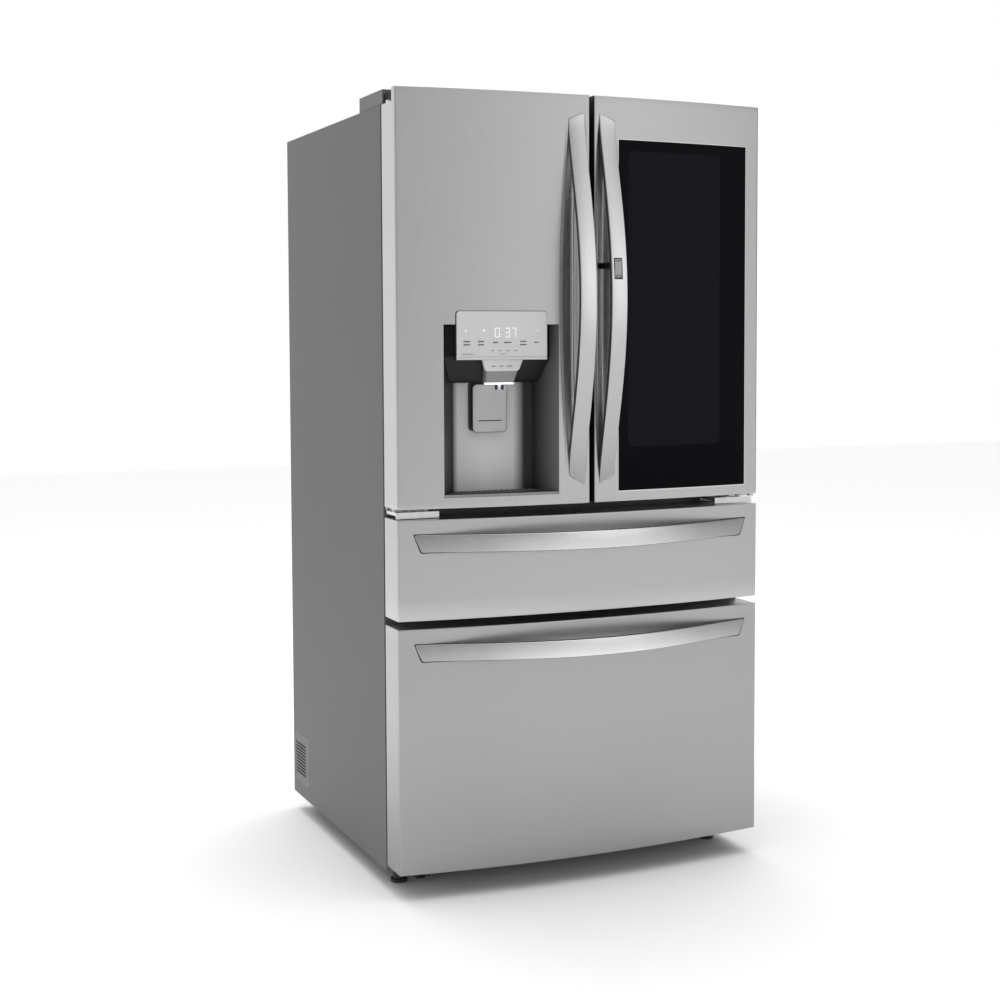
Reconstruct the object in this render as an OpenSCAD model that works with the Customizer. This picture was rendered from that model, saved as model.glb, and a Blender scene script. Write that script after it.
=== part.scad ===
// French door refrigerator: two bowed doors over a middle drawer and a freezer drawer.
// The left door carries the water and ice dispenser. The right door is a door-in-door with a
// glass pane. Millimetres, +Z up, the fronts face -Y, and the origin is on the floor under the
// middle of the bounding box.

/* [Cabinet] */
// Width of the cabinet, and of the two doors together
cab_w = 908; // [904:1:912]
// Height of the cabinet's top panel above the floor
cab_top = 1749; // [1747:1:1751]
// Height of the cabinet's underside above the floor
cab_bottom = 46; // [45:1:48]
// Depth of the cabinet without its doors
cab_d = 733; // [730:1:736]
// Thickness of the sheet steel wrap
sheet_t = 2; // [1.5:0.5:2]
// Thickness of the plastic compartment liners
liner_t = 2.5; // [2:0.5:3]
// Half the inside width of each compartment
room_x = 401.5; // [400:0.5:402]

/* [Doors and drawer fronts] */
// Thickness of a door at its side edges
edge_t = 82; // [80:1:84]
// How far the fronts bow forward across the whole width
bow = 34; // [30:1:36]
// Gap between the cabinet and the back of the doors, filled by the gaskets
gasket_gap = 8; // [8:0.5:9]
// Gap between the two doors
centre_gap = 12; // [10:1:14]
// Radius of the vertical front edges
corner_r = 5; // [3:0.5:6]
// Top of the doors' front lip
door_top = 1778; // [1776:1:1780]
// Underside of the doors
door_bottom = 868; // [866:1:870]
// Top and underside of the middle drawer's front
mid_z = [623, 844.5];
// Top and underside of the freezer drawer's front
low_z = [60, 605];

/* [Handles] */
// How far each handle stands out at its middle
handle_out = 64; // [60:1:66]
// Thickness of the handle straps
handle_t = 18; // [16:1:20]
// Width of the handle straps
handle_w = 38; // [36:1:40]
// Distance from the doors' meeting line to each upright handle
handle_x = 19; // [18:1:22]
// Depth of the finger scoops behind the upright handles
scoop_d = 24; // [20:1:26]

/* [Motion] */
// Travel of the middle drawer
mid_travel = 420; // [350:10:430]
// Travel of the freezer drawer
low_travel = 450; // [400:10:460]
// Radial clearance of every pin and shaft in its bore
run_gap = 0.05; // [0.02:0.01:0.1]

/* [Hidden] */
half_w = cab_w / 2;
rear_y = (cab_d + gasket_gap + edge_t + bow + handle_out) / 2;
case_y = rear_y - cab_d;
door_back = case_y - gasket_gap;
edge_y = door_back - edge_t;
front_y = edge_y - bow;
grip_y = front_y - handle_out;
bow_r = (half_w * half_w + bow * bow) / (2 * bow);
bow_c = front_y + bow_r;
bow_fn = 1440;

// The doors' rear part is lower than the front lip, and the hinges lie on it.
shoulder_z = cab_top - 1;
shoulder_y = edge_y + 18;

// Door pivots, mirrored left and right, and the outer right door's own pivot.
pivot = [438, -300];
pin_r = 5;
outer_pivot = [446, -348];
outer_pin_r = 4;
outer_back = -320;
case_front = -314;

// Compartments: [floor, ceiling] inside, with their back wall.
cold_z = [884.5, 1699.5];
mid_room_z = [640.5, 829.5];
low_room_z = [108.5, 587.5];
room_back = 394.5;
hump_y = 178;
hump_z = 300;
wrap_back = rear_y - 4;

// Machine compartment.
bay_y = 216;
bay_z = 275;
vent_y = [322, 440];
vent_z = [81, 211];

// Upright handles and their scoops.
grip_z = [910, 1738];
grip_mid = (grip_z[0] + grip_z[1]) / 2;
grip_half = (grip_z[1] - grip_z[0]) / 2;
grip_tip = 1.2;
scoop_half = 402;
scoop_r = 34;
scoop_x = 46.5;

// Drawer handles: [low, high], and the level scoops above them.
mid_grip_z = [773, 812];
low_grip_z = [533, 571];
grip_span = [401, 418];
level_scoop_r = 36;
level_scoop_d = 28;

// Latch on the right handle.
latch_x = 38;
latch_z = [1368.5, 1415.5];
latch_w = 20;
latch_rod_z = 1401;
latch_rod_r = 7;
latch_back = -450;
latch_travel = 4;

// Dispenser recess, narrower at its back wall.
niche_x = [-346.5, -79];
niche_z = [895.6, 1269.5];
niche_back_x = [-306, -119];
niche_back = -322;
niche_wall = 3;
niche_mid = (niche_x[0] + niche_x[1]) / 2;
panel_x = [-319.5, -110];
panel_z = [1192, 1298];
panel_proud = 5;
panel_back = -374;
chute_low = 1139;
paddle_x = [-258, -170];
paddle_z = [1030, 1134];
paddle_y = -338;
paddle_t = 4;
paddle_pin_r = 2;

// Glass of the outer right door and the window through it.
glass_x = [69, 417];
glass_z = [891, 1684];
glass_t = 4;
window_x = [92, 342];
window_z = [992, 1659];

// Inner door walls, bins and the folding centre flap.
dike_back = -205;
dike_t = 6;
dike_x = [50, 392];
case_open_z = [900, 1680];
flap_axis = [-38, -262];
flap_w = 68;
flap_t = 10;
flap_z = [915, 1675];
ice_z = [1290, 1690];
ice_back = -140;

// Shelves and crisper drawers.
shelf_y = [-118, 372];
shelf_z = [1086, 1290, 1490];
crisper_y = -100;
crisper_top = 1078;

// Telescopic rails, three members a side.
rail_y = [-265, 235];
rail_t = 5.5;
rail_h = 26;
mid_rail_z = 700;
low_rail_z = 400;

// Rollers and levelling legs.
roller_r = 22;
roller_w = 18;
axle_r = 4;
roller_x = 354;
roller_y = -215;
rear_roller_y = 398;
rear_roller_x = 380;
leg_x = 404;
leg_y = -215;
stem_r = 6;

// Fans.
cond_fan = [44, 340, 165];
cond_fan_r = 68;
evap_fan = [0, 334, 520];
evap_fan_r = 52;
shaft_r = 3;

// Water inlet, a push fitting for quarter-inch tube.
inlet = [390, 187];
inlet_r = 3.225;
inlet_len = 14.5;

// ---- Shared shapes ----

module block(lo, hi) translate(lo) cube(hi - lo);

module rod_x(r, x0, x1, y, z) translate([x0, y, z]) rotate([0, 90, 0]) cylinder(r = r, h = x1 - x0, $fn = 64);
module rod_y(r, y0, y1, x, z) translate([x, y0, z]) rotate([-90, 0, 0]) cylinder(r = r, h = y1 - y0, $fn = 64);
module rod_z(r, z0, z1, x, y) translate([x, y, z0]) cylinder(r = r, h = z1 - z0, $fn = 64);

// A prism with its outline in one plane, drawn between two values of the third axis.
module prism_x(x0, x1, points) translate([x0, 0, 0]) rotate([90, 0, 90]) linear_extrude(x1 - x0) polygon(points);
module prism_y(y0, y1, points) translate([0, y1, 0]) rotate([90, 0, 0]) linear_extrude(y1 - y0) polygon(points);
module prism_z(z0, z1, points) translate([0, 0, z0]) linear_extrude(z1 - z0) polygon(points);

// An open box: walls of thickness t, open at the top.
module tub(lo, hi, t) difference() {
    block(lo, hi);
    block(lo + [t, t, t], [hi[0] - t, hi[1] - t, hi[2] + 1]);
}

// A flat ring in the XZ plane, w wide, between y0 and y1.
module ring_xz(x, z, w, y0, y1) difference() {
    block([x[0], y0, z[0]], [x[1], y1, z[1]]);
    block([x[0] + w, y0 - 1, z[0] + w], [x[1] - w, y1 + 1, z[1] - w]);
}

// The same shape on both sides of the cabinet.
module both_sides() {
    children();
    mirror([1, 0, 0]) children();
}

// ---- The bowed fronts ----

function bow_y(x) = bow_c - sqrt(bow_r * bow_r - x * x);
function edge_centre(x, dir) = [
    x - dir * corner_r,
    bow_c - sqrt(pow(bow_r - corner_r, 2) - pow(x - dir * corner_r, 2))
];
function edge_tangent(x, dir) = let (c = edge_centre(x, dir), k = bow_r / (bow_r - corner_r))
    [c[0] * k, bow_c + (c[1] - bow_c) * k];

// Plan of a bowed front, set back by inset from the true front.
module bow_plan(x0, x1, back, inset = 0) intersection() {
    translate([0, bow_c]) circle(r = bow_r - inset, $fn = bow_fn);
    translate([x0, front_y - 10]) square([x1 - x0, back - front_y + 10]);
}

// Plan of a bowed front with rounded vertical edges, which lie this little inside the faces they join.
edge_step = 0.05;
module round_plan(x0, x1, back) {
    sides = [[x0, -1], [x1, 1]];
    difference() {
        bow_plan(x0, x1, back);
        for (s = sides) {
            c = edge_centre(s[0], s[1]);
            t = edge_tangent(s[0], s[1]);
            polygon([[s[0] + s[1], c[1]], [s[0] + s[1], front_y - 2], [t[0], front_y - 2], t, c]);
        }
    }
    for (s = sides) translate(edge_centre(s[0], s[1])) circle(r = corner_r - edge_step, $fn = 48);
}

module front_slab(x0, x1, z, back) translate([0, 0, z[0]]) linear_extrude(z[1] - z[0]) round_plan(x0, x1, back);
module front_core(x0, x1, z, back) translate([0, 0, z[0] + sheet_t])
    linear_extrude(z[1] - z[0] - 2 * sheet_t) bow_plan(x0 + sheet_t, x1 - sheet_t, back, sheet_t);

// The scoop behind an upright handle: a round upright cut with a floor that rises to its ends.
module scoop(dir) {
    face = bow_y(scoop_x);
    low = grip_mid - scoop_half;
    intersection() {
        rod_z(scoop_r, low, low + 2 * scoop_half, dir * scoop_x, face + scoop_d - scoop_r);
        prism_x(-half_w, half_w, concat([[front_y - scoop_r, low + 2 * scoop_half], [front_y - scoop_r, low]],
            [for (t = [-1 : 0.25 : 1]) [face + (scoop_d - 0.5) * (1 - t * t), grip_mid + t * scoop_half]]));
    }
}

// Stiffening block behind the left door's scoop, joined to the sheet steel.
module scoop_backing(dir) {
    depth = scoop_d + sheet_t + 2;
    mirror([dir < 0 ? 1 : 0, 0, 0])
        block([centre_gap / 2 + sheet_t, front_y, grip_mid - scoop_half],
            [scoop_x + scoop_r + 4, front_y + depth, grip_mid + scoop_half]);
}

// The level scoop above a drawer handle.
module level_scoop(grip) rod_x(level_scoop_r, -half_w + 6, half_w - 6,
    front_y + level_scoop_d - level_scoop_r, grip[1] - 6);

// ---- Handles: straps that swell out of the front and run back into it ----

function swell(t) = pow(1 - t * t, 1.5);
function grip_front(z) = front_y - grip_tip - (handle_out - grip_tip) * swell((z - grip_mid) / grip_half);

module upright_strap(dir) {
    steps = 48;
    zs = [for (i = [0 : steps]) grip_z[0] + (grip_z[1] - grip_z[0]) * i / steps];
    outer = [for (z = zs) [grip_front(z), z]];
    inner = [for (i = [steps : -1 : 0]) [min(front_y, grip_front(zs[i]) + handle_t), zs[i]]];
    slant = [22, 14];
    mirror([dir < 0 ? 1 : 0, 0, 0]) intersection() {
        prism_x(handle_x, handle_x + handle_w, concat(outer, inner));
        prism_y(grip_y - 1, front_y + 1, [
            [handle_x, grip_z[0]], [handle_x + handle_w, grip_z[0] + slant[0]],
            [handle_x + handle_w, grip_z[1] - slant[1]], [handle_x, grip_z[1]]
        ]);
    }
}

module level_strap(grip) {
    steps = 48;
    seat_gap = 0.15;
    xs = [for (i = [0 : steps]) grip_span[1] * (2 * i / steps - 1)];
    seat = [for (x = xs) bow_y(x) - seat_gap];
    face = [for (i = [0 : steps]) seat[i] - grip_tip
        - (handle_out - grip_tip - seat_gap) * swell(xs[i] / grip_span[1])];
    outer = [for (i = [0 : steps]) [xs[i], face[i]]];
    inner = [for (i = [steps : -1 : 0]) [xs[i], min(seat[i], face[i] + handle_t)]];
    intersection() {
        prism_z(grip[0], grip[1], concat(outer, inner));
        prism_y(grip_y - 1, front_y + bow + 10, [
            [-grip_span[0], grip[0]], [grip_span[0], grip[0]],
            [grip_span[1], grip[1]], [-grip_span[1], grip[1]]
        ]);
    }
}

// ---- Cabinet ----

cold_box = [[-room_x, cold_z[0]], [room_x, cold_z[1]]];
mid_box = [[-room_x, mid_room_z[0]], [room_x, mid_room_z[1]]];
low_box = [[-room_x, low_room_z[0]], [room_x, low_room_z[1]]];

// A compartment as a block, grown by g on every side but the front.
module room(box, g) block(
    [box[0][0] - g, case_y - 1, box[0][1] - g],
    [box[1][0] + g, room_back + g, box[1][1] + g]
);

// The freezer compartment steps over the machine compartment.
module low_room(g) difference() {
    room(low_box, g);
    block([-half_w, hump_y + g, 0], [half_w, rear_y, hump_z - g]);
}

module all_rooms(g) {
    room(cold_box, g);
    room(mid_box, g);
    low_room(g);
}

module outer_shell() color("dimgray") difference() {
    block([-half_w, case_y, cab_bottom], [half_w, rear_y, cab_top]);
    block(
        [-half_w + sheet_t, case_y + sheet_t, cab_bottom + sheet_t],
        [half_w - sheet_t, rear_y + 1, cab_top - sheet_t]
    );
    all_rooms(liner_t);
    block([-half_w - 1, vent_y[0], vent_z[0]], [-half_w + sheet_t + 1, vent_y[1], vent_z[1]]);
}

module back_panel() color("gray")
    block([-half_w + sheet_t, wrap_back, bay_z + 3], [half_w - sheet_t, wrap_back + 2, cab_top - sheet_t]);

module cabinet_foam() color("khaki") difference() {
    block(
        [-half_w + sheet_t, case_y + sheet_t, cab_bottom + sheet_t],
        [half_w - sheet_t, wrap_back, cab_top - sheet_t]
    );
    all_rooms(liner_t);
    block([-half_w, bay_y, 0], [half_w, rear_y, bay_z]);
}

module fridge_liner() color("white") difference() {
    intersection() {
        room(cold_box, liner_t);
        block([-half_w, case_y, 0], [half_w, rear_y, cab_top]);
    }
    room(cold_box, 0);
}

module drawer_liners() color("white") difference() {
    intersection() {
        union() {
            room(mid_box, liner_t);
            low_room(liner_t);
        }
        block([-half_w, case_y, 0], [half_w, rear_y, cab_top]);
    }
    room(mid_box, 0);
    low_room(0);
}

// ---- Fresh food compartment ----

shelf_t = 14;
shelf_rim = 14;
shelf_halves = [[-398, -4], [4, 398]];
pane_t = 4;

module shelf_frames() color("silver") {
    for (z = shelf_z, h = shelf_halves) difference() {
        block([h[0], shelf_y[0], z], [h[1], shelf_y[1], z + shelf_t]);
        block([h[0] + shelf_rim, shelf_y[0] + shelf_rim, z - 1],
            [h[1] - shelf_rim, shelf_y[1] - shelf_rim, z + shelf_t + 1]);
    }
    track_gap = 9;
    both_sides() block([196, shelf_y[1] + track_gap, 1100], [208, room_back, 1680]);
}

module shelf_glass() color("lightcyan", 0.5) for (z = shelf_z, h = shelf_halves)
    block([h[0] + shelf_rim, shelf_y[0] + shelf_rim, z + 5],
        [h[1] - shelf_rim, shelf_y[1] - shelf_rim, z + 5 + pane_t]);

module air_ducts() color("whitesmoke") {
    duct_x = 150;
    difference() {
        block([-duct_x, room_back - 12, 1105], [duct_x, room_back, 1690]);
        for (z = [1180 : 110 : 1620]) both_sides() block([60, 0, z], [120, room_back - 4, z + 12]);
    }
    // Freezer back cover, with the fan's hole, its motor and the arm that holds it.
    cover_y = 330;
    difference() {
        block([-398, cover_y, 305], [398, cover_y + 4, 585]);
        rod_y(evap_fan_r + 8, cover_y - 1, cover_y + 5, evap_fan[0], evap_fan[2]);
        for (z = [330 : 24 : 400]) both_sides() block([80, 0, z], [340, room_back, z + 8]);
    }
    difference() {
        union() {
            rod_y(18, evap_fan[1] + 18, evap_fan[1] + 34, evap_fan[0], evap_fan[2]);
            block([-4, cover_y + 14, evap_fan[2] + 10], [4, evap_fan[1] + 26, 583]);
            block([-4, cover_y + 4, 578], [4, cover_y + 14, 583]);
            block([-4, cover_y + 14, 578], [4, cover_y + 20, 583]);
        }
        rod_y(shaft_r + run_gap, 0, evap_fan[1] + 30, evap_fan[0], evap_fan[2]);
    }
}

module crisper(x0, x1) difference() {
    union() {
        block([x0, crisper_y, 888], [x1, crisper_y + 8, crisper_top]);
        block([x0 + 4, crisper_y + 8, 888], [x1 - 4, shelf_y[1], crisper_top - 14]);
    }
    block([x0 + 7, crisper_y + 11, 891], [x1 - 7, shelf_y[1] - 3, crisper_top + 1]);
    block([x0 + 120, crisper_y - 1, crisper_top - 22], [x1 - 120, crisper_y + 4, crisper_top + 1]);
}
module crisper_left() color("aliceblue") crisper(-397, -5);
module crisper_right() color("aliceblue") crisper(5, 397);

// ---- Cooling ----

module evaporator() color("silver") {
    for (z = [330 : 34 : 432], y = [350, 376]) rod_x(4, -330, 330, y, z);
    for (x = [-320 : 40 : 320]) block([x, 342, 318], [x + 1.5, 384, 446]);
}

module fan(r, hub_r, depth, blades) {
    cylinder(r = hub_r, h = depth, $fn = 64);
    for (i = [0 : blades - 1]) rotate([0, 0, i * 360 / blades])
        translate([0, 0, depth / 2]) rotate([28, 0, 0])
            block([hub_r - 3, -r * 0.28, -1], [r - 4, r * 0.28, 1]);
}

module evaporator_fan() color("white") {
    translate([evap_fan[0], evap_fan[1] - 14, evap_fan[2]]) rotate([-90, 0, 0]) fan(evap_fan_r, 13, 22, 5);
    rod_y(shaft_r, evap_fan[1], evap_fan[1] + 28, evap_fan[0], evap_fan[2]);
}

module condenser_fan() color("dimgray") {
    translate([cond_fan[0] - 12, cond_fan[1], cond_fan[2]]) rotate([0, 90, 0]) fan(cond_fan_r, 16, 24, 5);
    rod_x(shaft_r, cond_fan[0], cond_fan[0] + 38, cond_fan[1], cond_fan[2]);
}

module base_plate() color("darkgray") difference() {
    union() {
        block([-half_w + sheet_t, bay_y + 2, 48], [half_w - sheet_t, wrap_back, 51]);
        // Fan shroud and motor post.
        difference() {
            block([cond_fan[0] - 4, 250, 51], [cond_fan[0], 430, 255]);
            rod_x(cond_fan_r + 8, 0, 200, cond_fan[1], cond_fan[2]);
        }
        block([cond_fan[0] + 22, cond_fan[1] - 12, 51], [cond_fan[0] + 46, cond_fan[1] + 12, cond_fan[2]]);
        rod_x(22, cond_fan[0] + 20, cond_fan[0] + 52, cond_fan[1], cond_fan[2]);
    }
    rod_x(shaft_r + run_gap, 0, cond_fan[0] + 42, cond_fan[1], cond_fan[2]);
}

module compressor() color("black") translate([-250, 335, 0]) {
    rotate_extrude($fn = 96) polygon([[0, 66], [78, 66], [82, 74], [82, 150], [76, 180], [58, 206], [30, 219], [0, 222]]);
    block([-85, -70, 60], [85, 70, 66]);
    for (x = [-75, 75], y = [-60, 60]) rod_z(10, 51, 60, x, y);
    rod_x(4, 60, 270, 60, 190);
}

module condenser() color("#3a3a3a") {
    for (z = [80 : 30 : 230], y = [250, 280, 400]) rod_x(3, 140, 420, y, z);
    for (x = [140, 417]) block([x, 242, 70], [x + 3, 408, 240]);
}

module vent_slots() for (i = [0 : 9])
    block([-half_w - 1, 354, 104 + i * 8.5], [-half_w + sheet_t + 1, 437, 108.5 + i * 8.5]);

module rear_cover() color("gray") {
    difference() {
        block([-half_w + sheet_t, wrap_back, 52], [half_w - sheet_t, wrap_back + 2, bay_z + 2]);
        for (x = [-380 : 40 : -140]) block([x, 0, 90], [x + 28, rear_y, 200]);
        for (x = [60 : 40 : 300]) block([x, 0, 90], [x + 28, rear_y, 200]);
        rod_y(9, 0, rear_y, inlet[0], inlet[1]);
        for (x = rear_screw_x, z = rear_screw_z) rod_y(2.4, 0, rear_y, x, z);
    }
    difference() {
        union() {
            block([-half_w, vent_y[0], vent_z[0]], [-half_w + sheet_t, vent_y[1], vent_z[1]]);
            block([-half_w + sheet_t, vent_y[1] - 12, vent_z[0]], [-half_w + 4, wrap_back, vent_z[1]]);
        }
        vent_slots();
    }
    // Gland where the supply cord goes in.
    difference() {
        rod_y(9, wrap_back - 6, wrap_back, -60, 120);
        rod_y(5, 0, rear_y, -60, 120);
    }
}
rear_screw_x = [-430, -10, 430];
rear_screw_z = [62, 268];

module water_valve() color("ivory") difference() {
    union() {
        block([inlet[0] - 20, 424, inlet[1] - 18], [inlet[0] + 20, 448, inlet[1] + 18]);
        rod_y(7.5, 448, rear_y, inlet[0], inlet[1]);
        rod_z(14, inlet[1] + 18, inlet[1] + 52, inlet[0], 436);
    }
    rod_y(inlet_r, rear_y - inlet_len, rear_y + 1, inlet[0], inlet[1]);
}

// ---- Rails ----

module rail_pair(inner, y, z, h, lip = 0) both_sides()
    block([inner, y[0], z - h / 2], [inner + rail_t, y[1], z + h / 2]);

rail_x = [room_x - rail_t, room_x - 2 * rail_t - 0.4, room_x - 3 * rail_t - 0.8];

module fixed_rails() color("silver") {
    rail_pair(rail_x[0], rail_y, mid_rail_z, rail_h + 10);
    rail_pair(rail_x[0], [rail_y[0], 170], low_rail_z, rail_h + 10);
}
module mid_rails() color("lightgray") rail_pair(rail_x[1], rail_y, mid_rail_z, rail_h);
module freezer_rails() color("lightgray") rail_pair(rail_x[1], rail_y, low_rail_z, rail_h);

// ---- Hinges ----

hinge_t = 6;
low_hinge_z = 853;
arm_z = [door_bottom - 6, door_bottom];
screw_r = 2.4;
top_screws = [[438, -200], [400, -175], [438, -175]];
low_screw_x = [362, 384, 406];
low_screw_z = 863.4;

module door_hinges() color("silver") both_sides() {
    // Top hinge: a plate on the cabinet with the pin that goes down into the door.
    difference() {
        union() {
            block([426, pivot[1], cab_top], [444, -250, cab_top + hinge_t]);
            block([384, -250, cab_top], [444, -165, cab_top + hinge_t]);
            rod_z(12, cab_top, cab_top + hinge_t, pivot[0], pivot[1]);
        }
        for (s = top_screws) rod_z(screw_r, cab_top - 1, cab_top + hinge_t + 1, s[0], s[1]);
    }
    rod_z(pin_r, shoulder_z - 24, cab_top, pivot[0], pivot[1]);
    // Lower hinge: a bracket under the door, bolted to the front of the cabinet.
    difference() {
        union() {
            block([350, -345, low_hinge_z], [450, case_y, low_hinge_z + 7]);
            block([350, -345, 846], [450, -341, low_hinge_z + 7]);
            block([350, case_y - 4, 846], [450, case_y, 867]);
        }
        for (x = low_screw_x) rod_y(screw_r, case_y - 5, case_y + 1, x, low_screw_z);
    }
    rod_z(pin_r, low_hinge_z + 7, door_bottom + 24, pivot[0], pivot[1]);
}

module hinge_covers() color("gray") both_sides() difference() {
    union() {
        block([366, -270, cab_top], [448, -132, 1784]);
        block([378, -337, 1758], [448, -268, 1784]);
    }
    block([369, -267, cab_top - 1], [445, -135, 1781]);
    block([381, -334, cab_top - 1], [445, -260, 1781]);
    block([420, -280, cab_top - 1], [449, -262, 1757]);
}

module screws() color("silver") {
    both_sides() {
        for (s = top_screws) {
            rod_z(screw_r, cab_top, cab_top + hinge_t, s[0], s[1]);
            rod_z(5, cab_top + hinge_t, cab_top + hinge_t + 3, s[0], s[1]);
        }
        for (x = low_screw_x) {
            rod_y(screw_r, case_y - 4, case_y, x, low_screw_z);
            rod_y(3.4, case_y - 6.5, case_y - 4, x, low_screw_z);
        }
    }
    for (x = rear_screw_x, z = rear_screw_z) {
        rod_y(2.4, wrap_back, wrap_back + 2, x, z);
        rod_y(5, wrap_back + 2, rear_y, x, z);
    }
}

// ---- Undercarriage ----

module wheel_brackets() color("#303030") {
    both_sides() {
        difference() {
            union() {
                block([roller_x - 14, -245, 12], [roller_x - 11, -150, cab_bottom]);
                block([roller_x + 11, -245, 12], [roller_x + 14, -150, cab_bottom]);
                block([roller_x - 14, -150, 30], [leg_x + 16, -140, cab_bottom]);
                block([roller_x + 14, -240, 32], [leg_x + 16, -140, cab_bottom]);
            }
            rod_z(stem_r + run_gap, 0, cab_bottom - 1, leg_x, leg_y);
        }
        rod_x(axle_r, roller_x - 11, roller_x + 11, roller_y, roller_r);
    }
    both_sides() difference() {
        union() {
            block([rear_roller_x - 16, 384, 12], [rear_roller_x - 13, 412, cab_bottom]);
            block([rear_roller_x + 13, 384, 12], [rear_roller_x + 16, 412, cab_bottom]);
        }
        rod_x(axle_r + run_gap, 0, half_w, rear_roller_y, roller_r);
    }
}

module roller(x) difference() {
    rod_x(roller_r, x - roller_w / 2, x + roller_w / 2, roller_y, roller_r);
    rod_x(axle_r + run_gap, x - roller_w, x + roller_w, roller_y, roller_r);
}
module roller_left() color("black") roller(-roller_x);
module roller_right() color("black") roller(roller_x);
module rear_rollers() color("black") {
    rod_x(axle_r, -rear_roller_x - 20, rear_roller_x + 20, rear_roller_y, roller_r);
    both_sides() rod_x(roller_r, rear_roller_x - roller_w / 2, rear_roller_x + roller_w / 2,
        rear_roller_y, roller_r);
}

module leg(x) {
    rod_z(19, 0, 7, x, leg_y);
    rod_z(13, 7, 20, x, leg_y);
    rod_z(stem_r, 20, cab_bottom - 3, x, leg_y);
}
module leg_left() color("black") leg(-leg_x);
module leg_right() color("black") leg(leg_x);

// ---- Left door ----

left_x = [-half_w, -centre_gap / 2];
left_z = [door_bottom, door_top];

// What is cut away above the rear shoulder of a door.
module over_shoulder(x0, x1) block([x0 - 1, shoulder_y, shoulder_z], [x1 + 1, door_back + 1, door_top + 1]);

// Plan of the dispenser recess, grown by g.
module niche(g, z0, z1) prism_z(z0, z1, [
    [niche_x[0] - g, front_y - 20], [niche_x[1] + g, front_y - 20],
    [niche_x[1] + g, bow_y(niche_x[1]) + 8], [niche_back_x[1] + g, niche_back + g],
    [niche_back_x[0] - g, niche_back + g], [niche_x[0] - g, bow_y(niche_x[0]) + 4]
]);

// The ice falls through this chute from the ice bin into the recess.
module ice_chute(g) prism_x(niche_mid - 30 - g, niche_mid + 30 + g, [
    [-366 - g, chute_low - 1], [-366 - g, 1240], [-276, 1330 + g], [-276, 1300 - 2 * g],
    [-334 + g, 1230], [-334 + g, chute_low - 1]
]);

module left_panel() color("lightgray") difference() {
    front_slab(left_x[0], left_x[1], left_z, door_back);
    difference() {
        front_core(left_x[0], left_x[1], [left_z[0], shoulder_z], door_back + 1);
        scoop_backing(-1);
    }
    scoop(-1);
    over_shoulder(left_x[0], left_x[1]);
    niche(0, niche_z[0], niche_z[1]);
    for (z = [door_bottom - 1, shoulder_z - 5])
        rod_z(pin_r + run_gap, z, z + 6, -pivot[0], pivot[1]);
}

module left_liner() color("white") {
    difference() {
        union() {
            difference() {
                front_core(left_x[0], left_x[1], [left_z[0], shoulder_z], door_back);
                scoop_backing(-1);
                niche(niche_wall, niche_z[0] - niche_wall, niche_z[1] + niche_wall);
            }
            // Walls that stand into the compartment and hold the bins.
            block([-dike_x[1], door_back, 890], [-dike_x[1] + dike_t, dike_back, ice_z[1]]);
            block([-dike_x[0] - dike_t, door_back, 890], [-dike_x[0], dike_back, ice_z[1]]);
            // Insulated ice compartment.
            difference() {
                block([-dike_x[1], door_back, ice_z[0]], [-dike_x[0], ice_back, ice_z[1]]);
                block([-dike_x[1] + 15, door_back, ice_z[0] + 15], [-dike_x[0] - 15, ice_back + 1, ice_z[1] - 15]);
            }
            // Brackets of the folding flap.
            for (z = [893, flap_z[1] + 3])
                block([-46, door_back, z], [-32, flap_axis[1] + 7, z + 19]);
        }
        for (z = [door_bottom, shoulder_z - 25])
            rod_z(pin_r + run_gap, z, z + 25, -pivot[0], pivot[1]);
        rod_z(shaft_r + run_gap, flap_z[0] - 12, flap_z[1] + 12, flap_axis[0], flap_axis[1]);
        ice_chute(0);
    }
}

module left_gasket() color("gray")
    ring_xz([-432, -14], [door_bottom + 2, 1735], 16, door_back, case_y - 0.3);

module left_handle() color("silver") upright_strap(-1);

module dispenser_housing() color("#2b2b2b") difference() {
    union() {
        difference() {
            intersection() {
                niche(niche_wall, niche_z[0] - niche_wall, niche_z[1] + niche_wall);
                block([-half_w, edge_y - 6, 0], [0, 0, 2000]);
            }
            niche(0, niche_z[0], niche_z[1]);
            front_skin_cut();
        }
        // Ears that hold the paddle's pins.
        for (x = [paddle_x[0] - 6, paddle_x[1] + 1])
            block([x, paddle_y - 3, paddle_z[1] - 4], [x + 5, paddle_y + 7, chute_low]);
        // The head over the recess, and its nose.
        intersection() {
            niche(0, niche_z[0], niche_z[1]);
            union() {
                prism_x(niche_x[0], niche_x[1], [
                    [panel_back, niche_z[1]], [panel_back, panel_z[0]], [-345, chute_low],
                    [niche_back, chute_low], [niche_back, niche_z[1]]
                ]);
                prism_x(niche_mid - 44, niche_mid + 44, [
                    [panel_back, panel_z[0]], [-392, panel_z[0]], [-386, 1168], [-356, chute_low + 1],
                    [-345, chute_low]
                ]);
            }
        }
    }
    ice_chute(0);
    paddle_rod(paddle_pin_r + run_gap, 1);
}

// The line that the paddle swings on, out to the far faces of its ears.
module paddle_rod(r, beyond) rod_x(r, paddle_x[0] - 6 - beyond, paddle_x[1] + 6 + beyond,
    paddle_y + paddle_t / 2, paddle_z[1]);

// The recess liner stops behind the sheet steel of the door.
module front_skin_cut() difference() {
    block([-half_w, front_y - 30, 0], [0, edge_y + 20, 2000]);
    translate([0, 0, -1]) linear_extrude(2002) bow_plan(-half_w, 0, edge_y + 30, sheet_t);
}

module control_panel() color("gainsboro") difference() {
    translate([0, 0, panel_z[0]]) linear_extrude(panel_z[1] - panel_z[0])
        bow_plan(panel_x[0], panel_x[1], panel_back, -panel_proud);
    translate([0, 0, niche_z[1]]) linear_extrude(100) bow_plan(-half_w, 0, panel_back + 1);
}

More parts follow.
